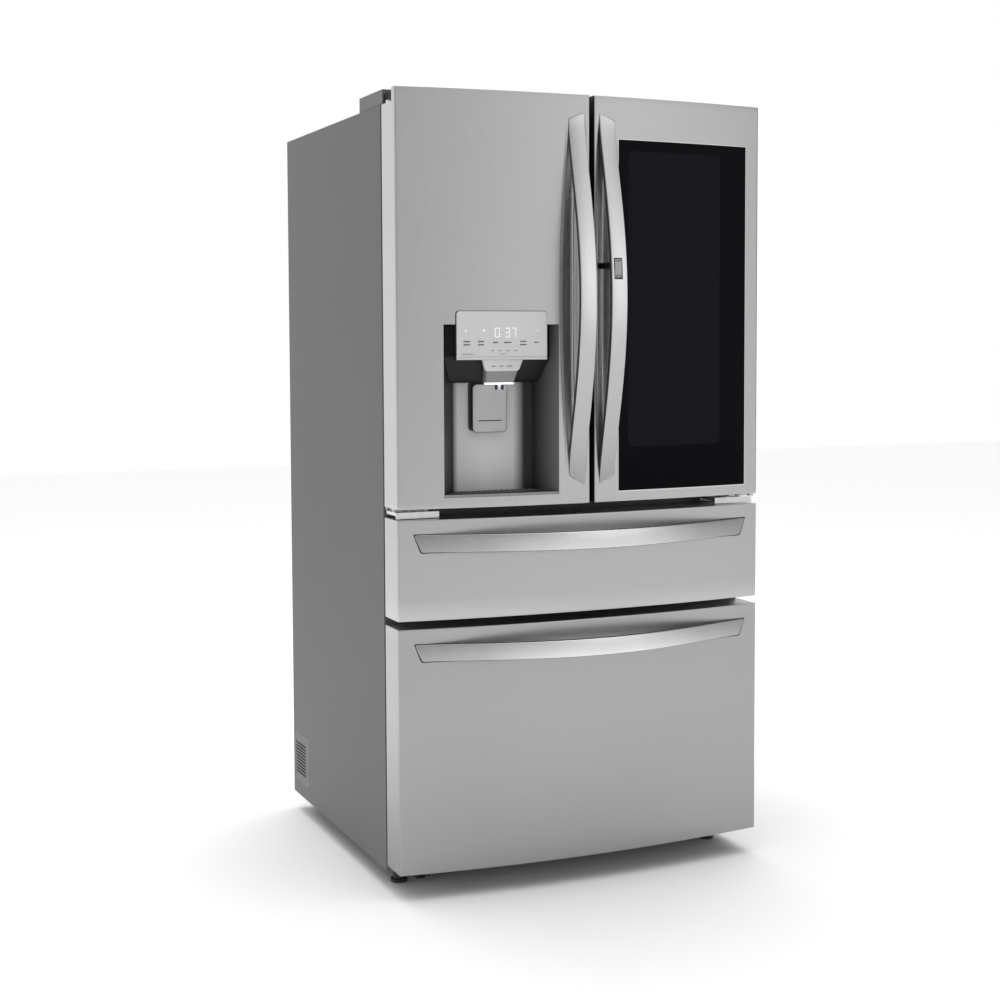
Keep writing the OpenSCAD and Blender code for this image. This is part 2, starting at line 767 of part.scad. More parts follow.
module drip_tray() color("gray") difference() {
    intersection() {
        niche(-0.5, niche_z[0], niche_z[0] + 9);
        linear_extrude(1000) bow_plan(-half_w, 0, 0, 1);
    }
    for (x = [-300 : 14 : -132]) block([x, -366, niche_z[0] + 3], [x + 7, -328, niche_z[0] + 10]);
}

module left_bins() color("lightcyan") for (z = [905, 1090])
    tub([-dike_x[1] + dike_t, door_back, z], [-dike_x[0] - dike_t, dike_back, z + 105], 3);

module ice_maker() color("white") difference() {
    block([-377, -268, 1590], [-65, -160, 1650]);
    for (x = [-365 : 38 : -110]) block([x, -258, 1606], [x + 30, -170, 1651]);
}

module ice_bin() color("lightcyan") difference() {
    tub([-372, -274, ice_z[0] + 15], [-80, -143, 1560], 4);
    rod_y(4 + run_gap, -280, -140, niche_mid, 1350);
    block([niche_mid - 24, -280, 1312], [niche_mid + 24, -268, 1334]);
}

module ice_auger() color("silver") {
    rod_y(4, -273, -144, niche_mid, 1350);
    for (i = [0 : 5]) translate([niche_mid, -262 + i * 20, 1350]) rotate([0, i * 60, 0])
        block([-26, -2, -5], [26, 2, 5]);
}

module mullion_flap() color("lightgray") {
    block([flap_axis[0], flap_axis[1], flap_z[0]], [flap_axis[0] + flap_t, flap_axis[1] + flap_w, flap_z[1]]);
    rod_z(shaft_r, flap_z[0] - 10, flap_z[1] + 10, flap_axis[0], flap_axis[1]);
}

module paddle() color("gray") {
    block([paddle_x[0], paddle_y, paddle_z[0]], [paddle_x[1], paddle_y + paddle_t, paddle_z[1]]);
    paddle_rod(paddle_pin_r, 0);
}

// ---- Right door: an inner case door and a glazed outer door on it ----

right_x = [centre_gap / 2, half_w];
outer_z = [door_bottom + 0.6, door_top];
outer_shoulder = shoulder_z - 0.5;

module door_case() color("white") difference() {
    union() {
        block([right_x[0], case_front, door_bottom], [right_x[1], door_back, shoulder_z]);
        ring_xz([dike_x[0], dike_x[1]], [case_open_z[0] - dike_t, case_open_z[1] + dike_t], dike_t,
            door_back, dike_back);
    }
    block([dike_x[0] + dike_t, case_front - 1, case_open_z[0]], [dike_x[1] - dike_t, dike_back + 1, case_open_z[1]]);
    for (z = [door_bottom - 1, shoulder_z - 25])
        rod_z(pin_r + run_gap, z, z + 26, pivot[0], pivot[1]);
}

// Arms on the inner door's ends, with the pins that the outer door turns on.
module case_hinges() color("silver") {
    start = [[400, -311], [420, -311], [420, -288], [400, -288]];
    arm = [[408, -306], [418, -294], [451, -343], [443, -350]];
    for (level = [[shoulder_z, shoulder_z + 6, shoulder_z - 24, shoulder_z],
                  [arm_z[0], arm_z[1], arm_z[1], door_bottom + 26]]) {
        prism_z(level[0], level[1], start);
        prism_z(level[0], level[1], arm);
        rod_z(7, level[0], level[1], outer_pivot[0], outer_pivot[1]);
        rod_z(outer_pin_r, level[2], level[3], outer_pivot[0], outer_pivot[1]);
    }
}

module right_bins() color("lightcyan") for (z = [905, 1100, 1295, 1490])
    tub([dike_x[0] + dike_t, case_front + 6, z], [dike_x[1] - dike_t, dike_back, z + 95], 3);

module right_gaskets() color("gray") {
    ring_xz([14, 432], [door_bottom + 2, 1735], 16, door_back, case_y - 0.3);
    ring_xz([14, 430], [door_bottom + 6, 1736], 12, outer_back + 0.3, case_front);
}

module right_panel() color("lightgray") difference() {
    front_slab(right_x[0], right_x[1], outer_z, outer_back);
    block([0, shoulder_y, outer_shoulder], [half_w + 1, door_back, door_top + 1]);
    rod_z(9.5, outer_shoulder, door_top + 1, outer_pivot[0], outer_pivot[1]);
    block([outer_pivot[0] - 9.5, outer_pivot[1], outer_shoulder], [half_w + 1, -300, door_top + 1]);
    scoop(1);
    glass_seat(0);
    block([window_x[0], front_y, window_z[0]], [window_x[1], 0, window_z[1]]);
    block([window_x[0] - 8, outer_back - 8, window_z[0] - 8], [window_x[1] + 8, 0, window_z[1] + 8]);
    for (z = [outer_z[0] - 1, outer_shoulder - 26])
        rod_z(outer_pin_r + run_gap, z, z + 27, outer_pivot[0], outer_pivot[1]);
    rod_y(latch_rod_r + 0.4, front_y - 10, -335, latch_x, latch_rod_z);
}

// The seat of the front pane in the steel face.
module glass_seat(g) difference() {
    block([glass_x[0] + g, front_y - 5, glass_z[0] + g], [glass_x[1] - g, edge_y + 10, glass_z[1] - g]);
    translate([0, 0, 800]) linear_extrude(1000) bow_plan(0, half_w, 0, glass_t);
}

module glass_panel() color("#15151c") {
    intersection() {
        glass_seat(0.3);
        translate([0, 0, 800]) linear_extrude(1000) bow_plan(0, half_w, 0);
    }
    block([window_x[0] - 7.7, outer_back - 5, window_z[0] - 7.7], [window_x[1] + 7.7, outer_back - 1, window_z[1] + 7.7]);
}

module right_handle() color("silver") difference() {
    upright_strap(1);
    block([latch_x - latch_w / 2 - 0.5, grip_y - 1, latch_z[0] - 0.5],
        [latch_x + latch_w / 2 + 0.5, latch_back + latch_travel + 0.5, latch_z[1] + 0.5]);
    rod_y(latch_rod_r + run_gap, latch_back - 1, front_y, latch_x, latch_rod_z);
}

module latch_button() color("gray") {
    proud = 1;
    prism_x(latch_x - latch_w / 2, latch_x + latch_w / 2, [
        [grip_front(latch_z[0]) - proud, latch_z[0]], [grip_front(latch_z[1]) - proud, latch_z[1]],
        [latch_back, latch_z[1]], [latch_back, latch_z[0]]
    ]);
    rod_y(latch_rod_r, latch_back, -350, latch_x, latch_rod_z);
}

// ---- Drawers ----

module drawer_front(z, grip) difference() {
    front_slab(-half_w, half_w, z, door_back);
    level_scoop(grip);
}

// Top of the runners that the freezer tray slides on.
runner_z = 424;

// A drawer bin with the rail members that carry it.
module drawer_box(x, y, z, rail_z, rail_back, t) {
    tub([-x, y[0], z[0]], [x, y[1], z[1]], t);
    rail_pair(rail_x[2], [door_back + 0.2, rail_back], rail_z, rail_h - 6);
    for (y0 = [y[0] + 20, y[1] - 60])
        both_sides() block([x, y0, rail_z - 5], [rail_x[2], y0 + 40, rail_z + 5]);
}

module mid_front() color("lightgray") drawer_front(mid_z, mid_grip_z);
module mid_handle() color("silver") level_strap(mid_grip_z);
module mid_gasket() color("gray") ring_xz([-432, 432], [mid_z[0] + 2, mid_z[1] - 2], 11, door_back, case_y - 0.3);
module mid_bin() color("whitesmoke") drawer_box(376, [door_back + 0.2, 250], [648, 800], mid_rail_z, 200, 3);

module freezer_front() color("lightgray") drawer_front(low_z, low_grip_z);
module freezer_handle() color("silver") level_strap(low_grip_z);
module freezer_gasket() color("gray") ring_xz([-432, 432], [low_z[0] + 28, low_z[1] - 2], 11, door_back, case_y - 0.3);
module freezer_basket() color("whitesmoke") {
    drawer_box(376, [door_back + 0.2, 160], [116, 416], low_rail_z, 160, 3);
    both_sides() block([366, -262, 416], [376, 160, runner_z]);
}
module freezer_tray() color("lightcyan") tub([-375, -250, runner_z + 0.4], [375, 30, 560], 3);

outer_shell();
back_panel();
cabinet_foam();
fridge_liner();
drawer_liners();
shelf_frames();
shelf_glass();
air_ducts();
fixed_rails();
evaporator();
base_plate();
compressor();
condenser();
rear_cover();
water_valve();
wheel_brackets();
door_hinges();
hinge_covers();
screws();
condenser_fan();
evaporator_fan();
roller_left();
roller_right();
rear_rollers();
leg_left();
leg_right();
crisper_left();
crisper_right();
left_panel();
left_liner();
left_gasket();
left_handle();
dispenser_housing();
control_panel();
drip_tray();
left_bins();
ice_maker();
ice_bin();
ice_auger();
mullion_flap();
paddle();
door_case();
case_hinges();
right_bins();
right_gaskets();
right_panel();
glass_panel();
right_handle();
latch_button();
mid_front();
mid_gasket();
mid_handle();
mid_bin();
mid_rails();
freezer_front();
freezer_gasket();
freezer_handle();
freezer_basket();
freezer_rails();
freezer_tray();
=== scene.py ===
"""French door refrigerator: the looks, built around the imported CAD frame.

Sizes are in metres and come from the CAD boxes where there is one; MM turns millimetres into metres.
The doors face -Y, +X is to the viewer's right and +Z is up.
"""
import math

import bmesh
import bpy
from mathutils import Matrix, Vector


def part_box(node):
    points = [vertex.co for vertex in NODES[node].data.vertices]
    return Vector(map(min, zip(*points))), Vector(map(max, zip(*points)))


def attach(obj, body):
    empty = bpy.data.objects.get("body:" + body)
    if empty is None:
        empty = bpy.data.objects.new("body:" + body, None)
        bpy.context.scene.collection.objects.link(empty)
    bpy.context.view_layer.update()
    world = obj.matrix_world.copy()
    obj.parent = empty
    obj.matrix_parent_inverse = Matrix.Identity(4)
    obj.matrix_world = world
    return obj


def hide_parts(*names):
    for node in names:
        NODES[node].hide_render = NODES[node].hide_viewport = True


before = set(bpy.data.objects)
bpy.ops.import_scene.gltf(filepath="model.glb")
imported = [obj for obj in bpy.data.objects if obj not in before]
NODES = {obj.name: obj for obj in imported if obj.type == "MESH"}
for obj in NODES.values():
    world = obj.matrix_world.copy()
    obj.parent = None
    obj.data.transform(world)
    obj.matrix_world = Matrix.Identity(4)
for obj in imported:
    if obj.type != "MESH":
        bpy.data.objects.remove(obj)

MM = 0.001
SCENE = bpy.context.scene
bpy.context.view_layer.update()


# ---- The frame's own measures ----

MID_LO, MID_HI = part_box("mid_front")
DOOR_LO, DOOR_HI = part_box("left_panel")
OUTER_LO, OUTER_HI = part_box("right_panel")
SHELL_LO, SHELL_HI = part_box("outer_shell")

HALF = MID_HI.x
FRONT = MID_LO.y
BACK = MID_HI.y
BOW = 34 * MM
EDGE = FRONT + BOW
RADIUS = (HALF * HALF + BOW * BOW) / (2 * BOW)
CORNER = 5 * MM
MEETING_CORNER = 1.8 * MM
SHOULDER_Z = SHELL_HI.z - 1 * MM
SHOULDER_Y = EDGE + 18 * MM
CASE_Y = SHELL_LO.y


def bow_y(x, inset=0.0):
    """The front's y at x, on the bow set back by inset."""
    return FRONT + RADIUS - math.sqrt((RADIUS - inset) ** 2 - x * x)


# ---- Materials ----

class Nodes:
    """The node tree of a new material or world, with short calls for what they share."""

    def __init__(self, name, store=bpy.data.materials, shader="Principled BSDF"):
        self.owner = store.new(name)
        self.owner.use_nodes = True
        self.tree = self.owner.node_tree
        self.shader = self.tree.nodes[shader]

    def add(self, kind, **settings):
        node = self.tree.nodes.new(kind)
        for key, value in settings.items():
            if key in node.inputs:
                node.inputs[key].default_value = value
            else:
                setattr(node, key, value)
        return node

    def link(self, output, target):
        self.tree.links.new(output, target)

    def feed(self, value, target):
        """Links an output to a socket, or sets the socket to a value."""
        if isinstance(value, bpy.types.NodeSocket):
            self.link(value, target)
        else:
            target.default_value = value

    def coordinates(self, output="Object"):
        return self.add("ShaderNodeTexCoord").outputs[output]

    def place(self, scale=(1, 1, 1)):
        """The piece's own coordinates, in metres, scaled."""
        mapping = self.add("ShaderNodeMapping", Scale=scale)
        self.link(self.coordinates(), mapping.inputs["Vector"])
        return mapping.outputs["Vector"]

    def axes(self, vector):
        """The outputs X, Y and Z of a vector."""
        split = self.add("ShaderNodeSeparateXYZ")
        self.link(vector, split.inputs["Vector"])
        return split.outputs

    def noise(self, vector, scale, detail=2.0, roughness=0.5):
        node = self.add("ShaderNodeTexNoise", Scale=scale, Detail=detail, Roughness=roughness)
        self.link(vector, node.inputs["Vector"])
        return node.outputs["Fac"]

    def calc(self, operation, *values):
        node = self.add("ShaderNodeMath", operation=operation)
        for value, target in zip(values, node.inputs):
            self.feed(value, target)
        return node.outputs[0]

    def mix(self, factor, first, second, blend_type="MIX"):
        node = self.add("ShaderNodeMix", data_type="RGBA", blend_type=blend_type)
        for value, index in ((factor, 0), (first, 6), (second, 7)):
            self.feed(value, node.inputs[index])
        return node.outputs[2]

    def spread(self, value, low, high, start=0.35, stop=0.65, curve="LINEAR"):
        """value from start to stop, mapped to low to high."""
        node = self.add("ShaderNodeMapRange", interpolation_type=curve)
        for name, number in (("From Min", start), ("From Max", stop), ("To Min", low), ("To Max", high)):
            node.inputs[name].default_value = number
        self.link(value, node.inputs["Value"])
        return node.outputs["Result"]

    def tint(self, value, colour_a, colour_b):
        node = self.add("ShaderNodeValToRGB")
        node.color_ramp.elements[0].color = (*colour_a, 1)
        node.color_ramp.elements[1].color = (*colour_b, 1)
        self.link(value, node.inputs["Fac"])
        return node.outputs["Color"]

    def ramp(self, value, tones, blue=1.0):
        """Greys along value, from pairs of a place and a tone."""
        node = self.add("ShaderNodeValToRGB")
        while len(node.color_ramp.elements) < len(tones):
            node.color_ramp.elements.new(0.5)
        for stop, (place, tone) in zip(node.color_ramp.elements, tones):
            stop.position = place
            stop.color = (*grey(tone, blue), 1)
        self.link(value, node.inputs["Fac"])
        return node.outputs["Color"]

    def along(self, axis, start, stop, mirrored=False):
        """0 to 1 from start to stop along the piece's axis; mirrored counts from its middle both ways."""
        value = self.axes(self.place())[axis]
        return self.spread(self.calc("ABSOLUTE", value) if mirrored else value, 0, 1, start, stop)

    def bump(self, height, strength, distance):
        node = self.add("ShaderNodeBump", Strength=strength, Distance=distance)
        self.link(height, node.inputs["Height"])
        self.link(node.outputs["Normal"], self.shader.inputs["Normal"])

    def colour(self, output):
        self.link(output, self.shader.inputs["Base Color"])

    def roughness(self, output):
        self.link(output, self.shader.inputs["Roughness"])

    def set(self, **values):
        for key, value in values.items():
            self.shader.inputs[key.replace("_", " ")].default_value = value


def grey(value, blue=1.0):
    return (value, value, value * blue)


def shade(colour, factor):
    return tuple(min(1.0, c * factor) for c in colour)


def brushed_steel(name, colour, grain, rough=0.36, stretch=0.45, tones=None, span=None):
    """Stainless steel with fine brush lines along grain, one of x or z.

    tones are factors of its colour along span, painted light and shade: an axis, its start, its stop and
    whether it is mirrored.
    """
    n = Nodes(name)
    fine, coarse = 2600.0, 14.0
    scale = (coarse, fine, fine) if grain == "x" else (fine, fine, coarse)
    lines = n.noise(n.place(scale), 1.0, 3.0, 0.6)
    drift = n.noise(n.place((2.2, 2.2, 1.1)), 1.0, 1.0)
    steel = n.tint(n.spread(lines, 0, 1, 0.3, 0.7), shade(colour, 0.93), shade(colour, 1.05))
    n.colour(n.mix(1.0, steel, n.ramp(n.along(*span), tones), "MULTIPLY") if tones else steel)
    n.roughness(n.calc("ADD", n.spread(lines, rough - 0.05, rough + 0.05), n.spread(drift, -0.02, 0.03)))
    n.bump(lines, 0.16, 0.00004)
    n.set(Metallic=1.0, Anisotropic=stretch, Anisotropic_Rotation=0.0 if grain == "x" else 0.25)
    tangent = n.add("ShaderNodeTangent", direction_type="RADIAL", axis="Z")
    n.link(tangent.outputs["Tangent"], n.shader.inputs["Tangent"])
    return n.owner


def plastic(name, colour, rough=0.4, texture=0.05, scale=900.0, bump=0.00003, specular=0.5):
    """Moulded plastic: a fine grain in its gloss and height, and a slow drift in its tone."""
    n = Nodes(name)
    grain = n.noise(n.place(), scale, 2.0, 0.55)
    drift = n.noise(n.place(), 7.0, 2.0)
    n.colour(n.tint(n.spread(drift, 0, 1), shade(colour, 0.97), shade(colour, 1.02)))
    n.roughness(n.spread(grain, rough - texture, rough + texture))
    n.bump(grain, 0.2, bump)
    n.set(Specular_IOR_Level=specular)
    return n.owner


def clear_plastic(name, colour, rough=0.08, transmission=0.82):
    n = Nodes(name)
    swirl = n.noise(n.place(), 22.0, 2.0)
    n.roughness(n.spread(swirl, rough, rough + 0.05))
    n.colour(n.tint(n.spread(swirl, 0, 1), shade(colour, 0.98), colour))
    n.bump(swirl, 0.1, 0.0004)
    n.set(Transmission_Weight=transmission, IOR=1.2)
    return n.owner


def metal(name, colour, rough=0.3, spangle=0.0, scale=60.0):
    """Plated or cast metal; spangle is how strongly its crystals show."""
    n = Nodes(name)
    grain = n.noise(n.place(), scale, 4.0, 0.6)
    swing = spangle + 0.04
    n.colour(n.tint(n.spread(grain, 0, 1), shade(colour, 1 - swing), shade(colour, 1 + swing)))
    n.roughness(n.spread(grain, rough - 0.06, rough + 0.08))
    n.bump(grain, 0.1, 0.0001)
    n.set(Metallic=1.0)
    return n.owner


def painted_steel(name, colour, rough=0.42):
    """Powder-coated sheet: fine texture, slight orange peel."""
    n = Nodes(name)
    fine = n.noise(n.place(), 1500.0, 3.0, 0.6)
    peel = n.noise(n.place(), 260.0, 2.0)
    drift = n.noise(n.place((1.4, 1.4, 0.8)), 1.5, 2.0)
    n.colour(n.tint(n.spread(drift, 0, 1, 0.2, 0.8), shade(colour, 0.95), shade(colour, 1.04)))
    n.roughness(n.spread(fine, rough - 0.06, rough + 0.06))
    n.bump(n.calc("ADD", fine, peel), 0.25, 0.00006)
    return n.owner


def foam(name, colour):
    n = Nodes(name)
    cells = n.add("ShaderNodeTexVoronoi", Scale=700.0)
    n.link(n.place(), cells.inputs["Vector"])
    n.colour(n.tint(cells.outputs["Distance"], shade(colour, 0.85), colour))
    n.bump(cells.outputs["Distance"], 0.5, 0.0004)
    n.set(Roughness=0.9)
    return n.owner


def glow(name, colour, strength):
    n = Nodes(name)
    n.colour(n.tint(n.noise(n.place(), 30.0), shade(colour, 0.96), colour))
    n.set(Emission_Color=(*colour, 1), Emission_Strength=strength, Roughness=0.5)
    return n.owner


STEEL_Z = brushed_steel("stainless_upright", grey(0.585, 1.012), "z")
# The drawer fronts' steel is painted darker towards the floor and lighter higher up: painted shade.
STEEL_X = brushed_steel("stainless_level", grey(0.63, 1.012), "x", stretch=0.3, span=("Z", 0.06, 0.85),
                        tones=[(0, 0.55), (0.2, 0.62), (0.45, 0.74), (0.66, 0.80), (0.73, 0.92), (1, 0.92)])
# The upright handles are painted brightest at mid height and darker towards both ends: painted highlight and
# shade.
HANDLE_Z = brushed_steel("handle_upright", grey(0.90, 1.01), "z", rough=0.25, stretch=0.0,
                         span=("Z", 0.91, 1.738),
                         tones=[(0, 0.50), (0.25, 0.70), (0.55, 0.93), (0.8, 0.91), (1, 0.82)])
# The level handles are painted brightest in the middle and darker towards both ends: painted highlight and
# shade.
HANDLE_X = brushed_steel("handle_level", grey(0.84, 1.01), "x", rough=0.25, stretch=0.0,
                         span=("X", 0.08, 0.36, True), tones=[(0, 1.0), (0.35, 0.80), (0.7, 0.56), (1, 0.48)])
# The scoops' steel is smoother than the door's, and a little darker as painted shade in the recess.
SCOOP_STEEL = brushed_steel("scoop_steel", grey(0.52, 1.01), "z", rough=0.24, stretch=0.0)
CASE_PAINT = painted_steel("cabinet_paint", grey(0.11, 1.01), rough=0.5)
GALVANISED = metal("galvanised_sheet", grey(0.5), rough=0.45, spangle=0.05, scale=160.0)
ZINC = metal("zinc_plate", grey(0.58), rough=0.32, spangle=0.04)
CHROME = metal("bright_steel", grey(0.75), rough=0.16)
BLACK_STEEL = painted_steel("black_steel", grey(0.02), rough=0.35)
ALUMINIUM = metal("mill_aluminium", grey(0.7), rough=0.35, spangle=0.03, scale=120.0)
LINER = plastic("liner_white", (0.80, 0.82, 0.83), rough=0.3, scale=500.0)
TRIM = plastic("shelf_trim", (0.66, 0.68, 0.69), rough=0.35)
CLEAR = clear_plastic("clear_bin", (0.86, 0.93, 0.96))
GLASS = clear_plastic("shelf_glass", (0.84, 0.94, 0.92), rough=0.02, transmission=0.9)
RUBBER = plastic("gasket_rubber", grey(0.016), rough=0.6, scale=700.0)
GREY_PLASTIC = plastic("grey_plastic", grey(0.13), rough=0.45)
DARK_PLASTIC = plastic("dark_plastic", grey(0.03), rough=0.42)
BLACK_SEAL = plastic("black_seal", grey(0.006), rough=0.5, specular=0.12)
MID_GREY = plastic("mid_grey_plastic", grey(0.30), rough=0.38)
SILVER_PANEL = plastic("silver_panel", grey(0.72, 1.005), rough=0.32, scale=1500.0)
DOOR_GLASS = plastic("door_glass", (0.0020, 0.0018, 0.0034), 0.06, 0.01, bump=0.000002, specular=0.06)
WINDOW_GLASS = plastic("window_glass", (0.0062, 0.0056, 0.0105), 0.06, 0.01, bump=0.000002, specular=0.07)
# Near-black on the doors' sides at the meeting line: painted shade in the gap between the doors.
MEETING_GAP_SHADE = plastic("meeting_gap_shade", grey(0.018), rough=0.5, specular=0.2)
HEAD_BLACK = plastic("head_black", grey(0.010), rough=0.42, specular=0.3)
BACK_STEEL = metal("handle_back", grey(0.72), rough=0.34)
# Near-black for the handles' backing and the latch's bezel: a painted shadow line around each handle and
# painted shade in the latch's slot.
BACKING_SHADOW = plastic("backing_shadow", grey(0.03), rough=0.5)
MARK_GREY = plastic("print_grey", grey(0.09), rough=0.5)
BUTTON_GREY = plastic("button_grey", grey(0.42), rough=0.4)
PADDLE_GREY = plastic("paddle_grey", grey(0.52, 1.01), rough=0.36)
DIGIT_LIGHT = glow("digit_light", (0.95, 0.98, 1.0), 0.45)
LIGHT_BAR = glow("light_bar", (0.93, 0.94, 1.0), 1.5)
IVORY = plastic("ivory_plastic", (0.6, 0.57, 0.48), rough=0.45)
FOAM = foam("rigid_foam", (0.78, 0.70, 0.42))


# ---- Mesh helpers ----

def smoothed(mesh, angle):
    """Smooth faces, with the edges that bend more than angle marked as sharp."""
    for polygon in mesh.polygons:
        polygon.use_smooth = True
    mesh.set_sharp_from_angle(angle=math.radians(angle))


def piece(name, mesh, body, material, slot=None, stands_for=(), smooth=35.0):
    """A finished mesh as a piece that rides on a body."""
    obj = bpy.data.objects.new(name, mesh)
    SCENE.collection.objects.link(obj)
    mesh.materials.append(material)
    smoothed(mesh, smooth)
    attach(obj, body)
    if stands_for:
        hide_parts(*stands_for)
    return obj


def mesh_of(name, vertices, faces):
    mesh = bpy.data.meshes.new(name)
    mesh.from_pydata([tuple(v) for v in vertices], [], faces)
    b = bmesh.new()
    b.from_mesh(mesh)
    bmesh.ops.remove_doubles(b, verts=b.verts, dist=1e-7)
    bmesh.ops.dissolve_degenerate(b, edges=b.edges, dist=1e-7)
    bmesh.ops.recalc_face_normals(b, faces=b.faces)
    b.to_mesh(mesh)
    b.free()
    return mesh


def add_modifier(obj, kind, name, **settings):
    modifier = obj.modifiers.new(name, kind)
    for key, value in settings.items():
        setattr(modifier, key, value)
    return modifier


def baked(obj, smooth=35.0):
    """Turns the piece's modifiers into its mesh and marks the edges that are then sharp."""
    final = bpy.data.meshes.new_from_object(obj.evaluated_get(bpy.context.evaluated_depsgraph_get()))
    obj.modifiers.clear()
    final.name = obj.data.name
    obj.data = final
    smoothed(final, smooth)
    return obj


def bevelled(obj, width, segments=2, angle=35.0):
    return add_modifier(obj, "BEVEL", "edges", width=width, segments=segments, limit_method="ANGLE",
                        angle_limit=math.radians(angle))


def box_mesh(name, lo, hi):
    x, y, z = zip(lo, hi)
    corners = [(a, b, c) for c in z for b in y for a in x]
    sides = [(0, 1, 3, 2), (4, 6, 7, 5), (0, 4, 5, 1), (1, 5, 7, 3), (3, 7, 6, 2), (2, 6, 4, 0)]
    return mesh_of(name, corners, sides)


def bar(name, lo, hi, body, material, width=0.001, **more):
    """A block with rounded edges."""
    obj = piece(name, box_mesh(name, lo, hi), body, material, **more)
    bevelled(obj, width, 3)
    return obj


def loft(name, rings, closed=True, caps=True):
    """A skin through rings of equally many points; closed joins a ring's ends, caps fills the end rings."""
    count = len(rings[0])
    steps = [(i, (i + 1) % count) for i in range(count if closed else count - 1)]
    faces = [(k * count + i, k * count + j, (k + 1) * count + j, (k + 1) * count + i)
             for k in range(len(rings) - 1) for i, j in steps]
    if caps:
        faces += [tuple(range(count)), tuple(range((len(rings) - 1) * count, len(rings) * count))]
    return mesh_of(name, [p for ring in rings for p in ring], faces)


def blend(low, high, f):
    return low + (high - low) * f


def outline(x0, x1, z0, z1, radius, arcs=5, across=1, up=1):
    """A rectangle in x and z with rounded corners, its straight edges cut into across and up parts."""
    corners = []
    for index, (x, z) in enumerate(((x0 + radius, z0 + radius), (x1 - radius, z0 + radius),
                                    (x1 - radius, z1 - radius), (x0 + radius, z1 - radius))):
        turns = [math.pi + math.pi / 2 * (index + k / arcs) for k in range(arcs + 1)]
        corners.append([(x + radius * math.cos(turn), z + radius * math.sin(turn)) for turn in turns])
    points = []
    for arc, following, parts in zip(corners, corners[1:] + corners[:1], (across, up, across, up)):
        last, end = arc[-1], following[0]
        points += arc + [(blend(last[0], end[0], k / parts), blend(last[1], end[1], k / parts))
                         for k in range(1, parts)]
    return points


def inset_outline(x0, x1, z0, z1, inset, radius, *cuts):
    return outline(x0 + inset, x1 - inset, z0 + inset, z1 - inset, radius, *cuts)


def plate(name, x0, x1, z0, z1, radius, front, thick, body, material, edge=0.8 * MM, **more):
    """A flat plate in x and z with rounded corners and a softened front edge, its face at y = front."""
    rings = []
    for inset, depth in ((0, thick), (0, edge), (0.3 * edge, 0.3 * edge), (edge, 0)):
        ring = inset_outline(x0, x1, z0, z1, inset, max(radius - inset, 0.1 * edge))
        rings.append([(x, front + depth, z) for x, z in ring])
    return piece(name, loft(name, rings), body, material, **more)


def round_end(near, radius):
    """How far a rounded corner is cut back at a distance near from the end."""
    if near >= radius:
        return 0.0
    rest = radius - near
    return radius - math.sqrt(max(0.0, radius ** 2 - rest ** 2))


def end_stations(x0, x1, radius, step):
    """x stations of a piece with rounded corners: close together at both ends."""
    fine = [radius * f for f in (0, 0.03, 0.12, 0.3, 0.6, 1)]
    middle = spaced(x0 + radius, x1 - radius, step)[1:-1]
    return [x0 + f for f in fine] + middle + [x1 - f for f in reversed(fine)]


def spaced(start, stop, step):
    """start to stop in even steps of about step, both ends included."""
    count = max(1, round(abs(stop - start) / step))
    return [start + (stop - start) * k / count for k in range(count + 1)]


def chained(*lists):
    """Lists of rising numbers joined into one, without the repeats where they meet."""
    joined = []
    for numbers in lists:
        joined += [v for v in numbers if not joined or v > joined[-1] + 1e-9]
    return joined


# ---- Bowed fronts ----

ROUND_STEPS = 6
EDGE_ROUND = 1.2 * MM


def corner_arc(x, side):
    """Points of a rounded vertical edge, from the side wall to the front; side is -1 or 1."""
    radius = CORNER if abs(x) > 20 * MM else MEETING_CORNER
    cx = x - side * radius
    cy = bow_y(cx, radius)
    lean = math.asin(cx / RADIUS)
    points = []
    for k in range(ROUND_STEPS + 1):
        turn = k / ROUND_STEPS * (math.pi / 2 - abs(lean) * (1 if side * cx > 0 else -1))
        points.append((cx + side * radius * math.cos(turn), cy - radius * math.sin(turn)))
    return points


def side_wall(x, side, back):
    """Plan of a front's side, from its back edge to the end of its rounded edge."""
    return [(x, back), (x, SHOULDER_Y)] + corner_arc(x, side)


def bowed_shell(name, x0, x1, zs, back, place, hole=None, lip=None):
    """The folded steel sheet of a front, open at the back.

    place(z) gives the stations across the front at row z, each an x and a depth below the bow. hole is a
    box of x and z that the sheet leaves open. lip is the height above which the back is cut away to the
    doors' shoulder.
    """
    rows = []
    for z in zs:
        inset = round_end(min(z - zs[0], zs[-1] - z), EDGE_ROUND)
        row_back = SHOULDER_Y if lip and z > lip else back
        left, right = side_wall(x0, -1, row_back), side_wall(x1, 1, row_back)
        row = [(x + inset, y + (inset if y < back else 0), z) for x, y in left]
        row += [(x, bow_y(x) + depth + inset, z) for x, depth in place(z)]
        row += [(x - inset, y + (inset if y < back else 0), z) for x, y in reversed(right)]
        rows.append(row)
    count = len(rows[0])
    faces = []
    for k in range(len(rows) - 1):
        for i in range(count - 1):
            a, b = rows[k][i], rows[k + 1][i + 1]
            x, z = (a[0] + b[0]) / 2, (a[2] + b[2]) / 2
            if hole and hole[0] < x < hole[1] and hole[2] < z < hole[3] and a[1] < SHOULDER_Y:
                continue
            faces.append((k * count + i, k * count + i + 1, (k + 1) * count + i + 1, (k + 1) * count + i))
        if lip and zs[k + 1] > lip:
            faces.append((k * count, (k + 1) * count, (k + 2) * count - 1, (k + 1) * count - 1))
    faces.append(tuple(range(count)))
    faces.append(tuple(range((len(rows) - 1) * count, len(rows) * count)))
    return mesh_of(name, [p for row in rows for p in row], faces)


def edge_rows(low, high):
    fine = [EDGE_ROUND * f for f in (0, 0.12, 0.4, 1)]
    return [low + f for f in fine], [high - f for f in reversed(fine)]


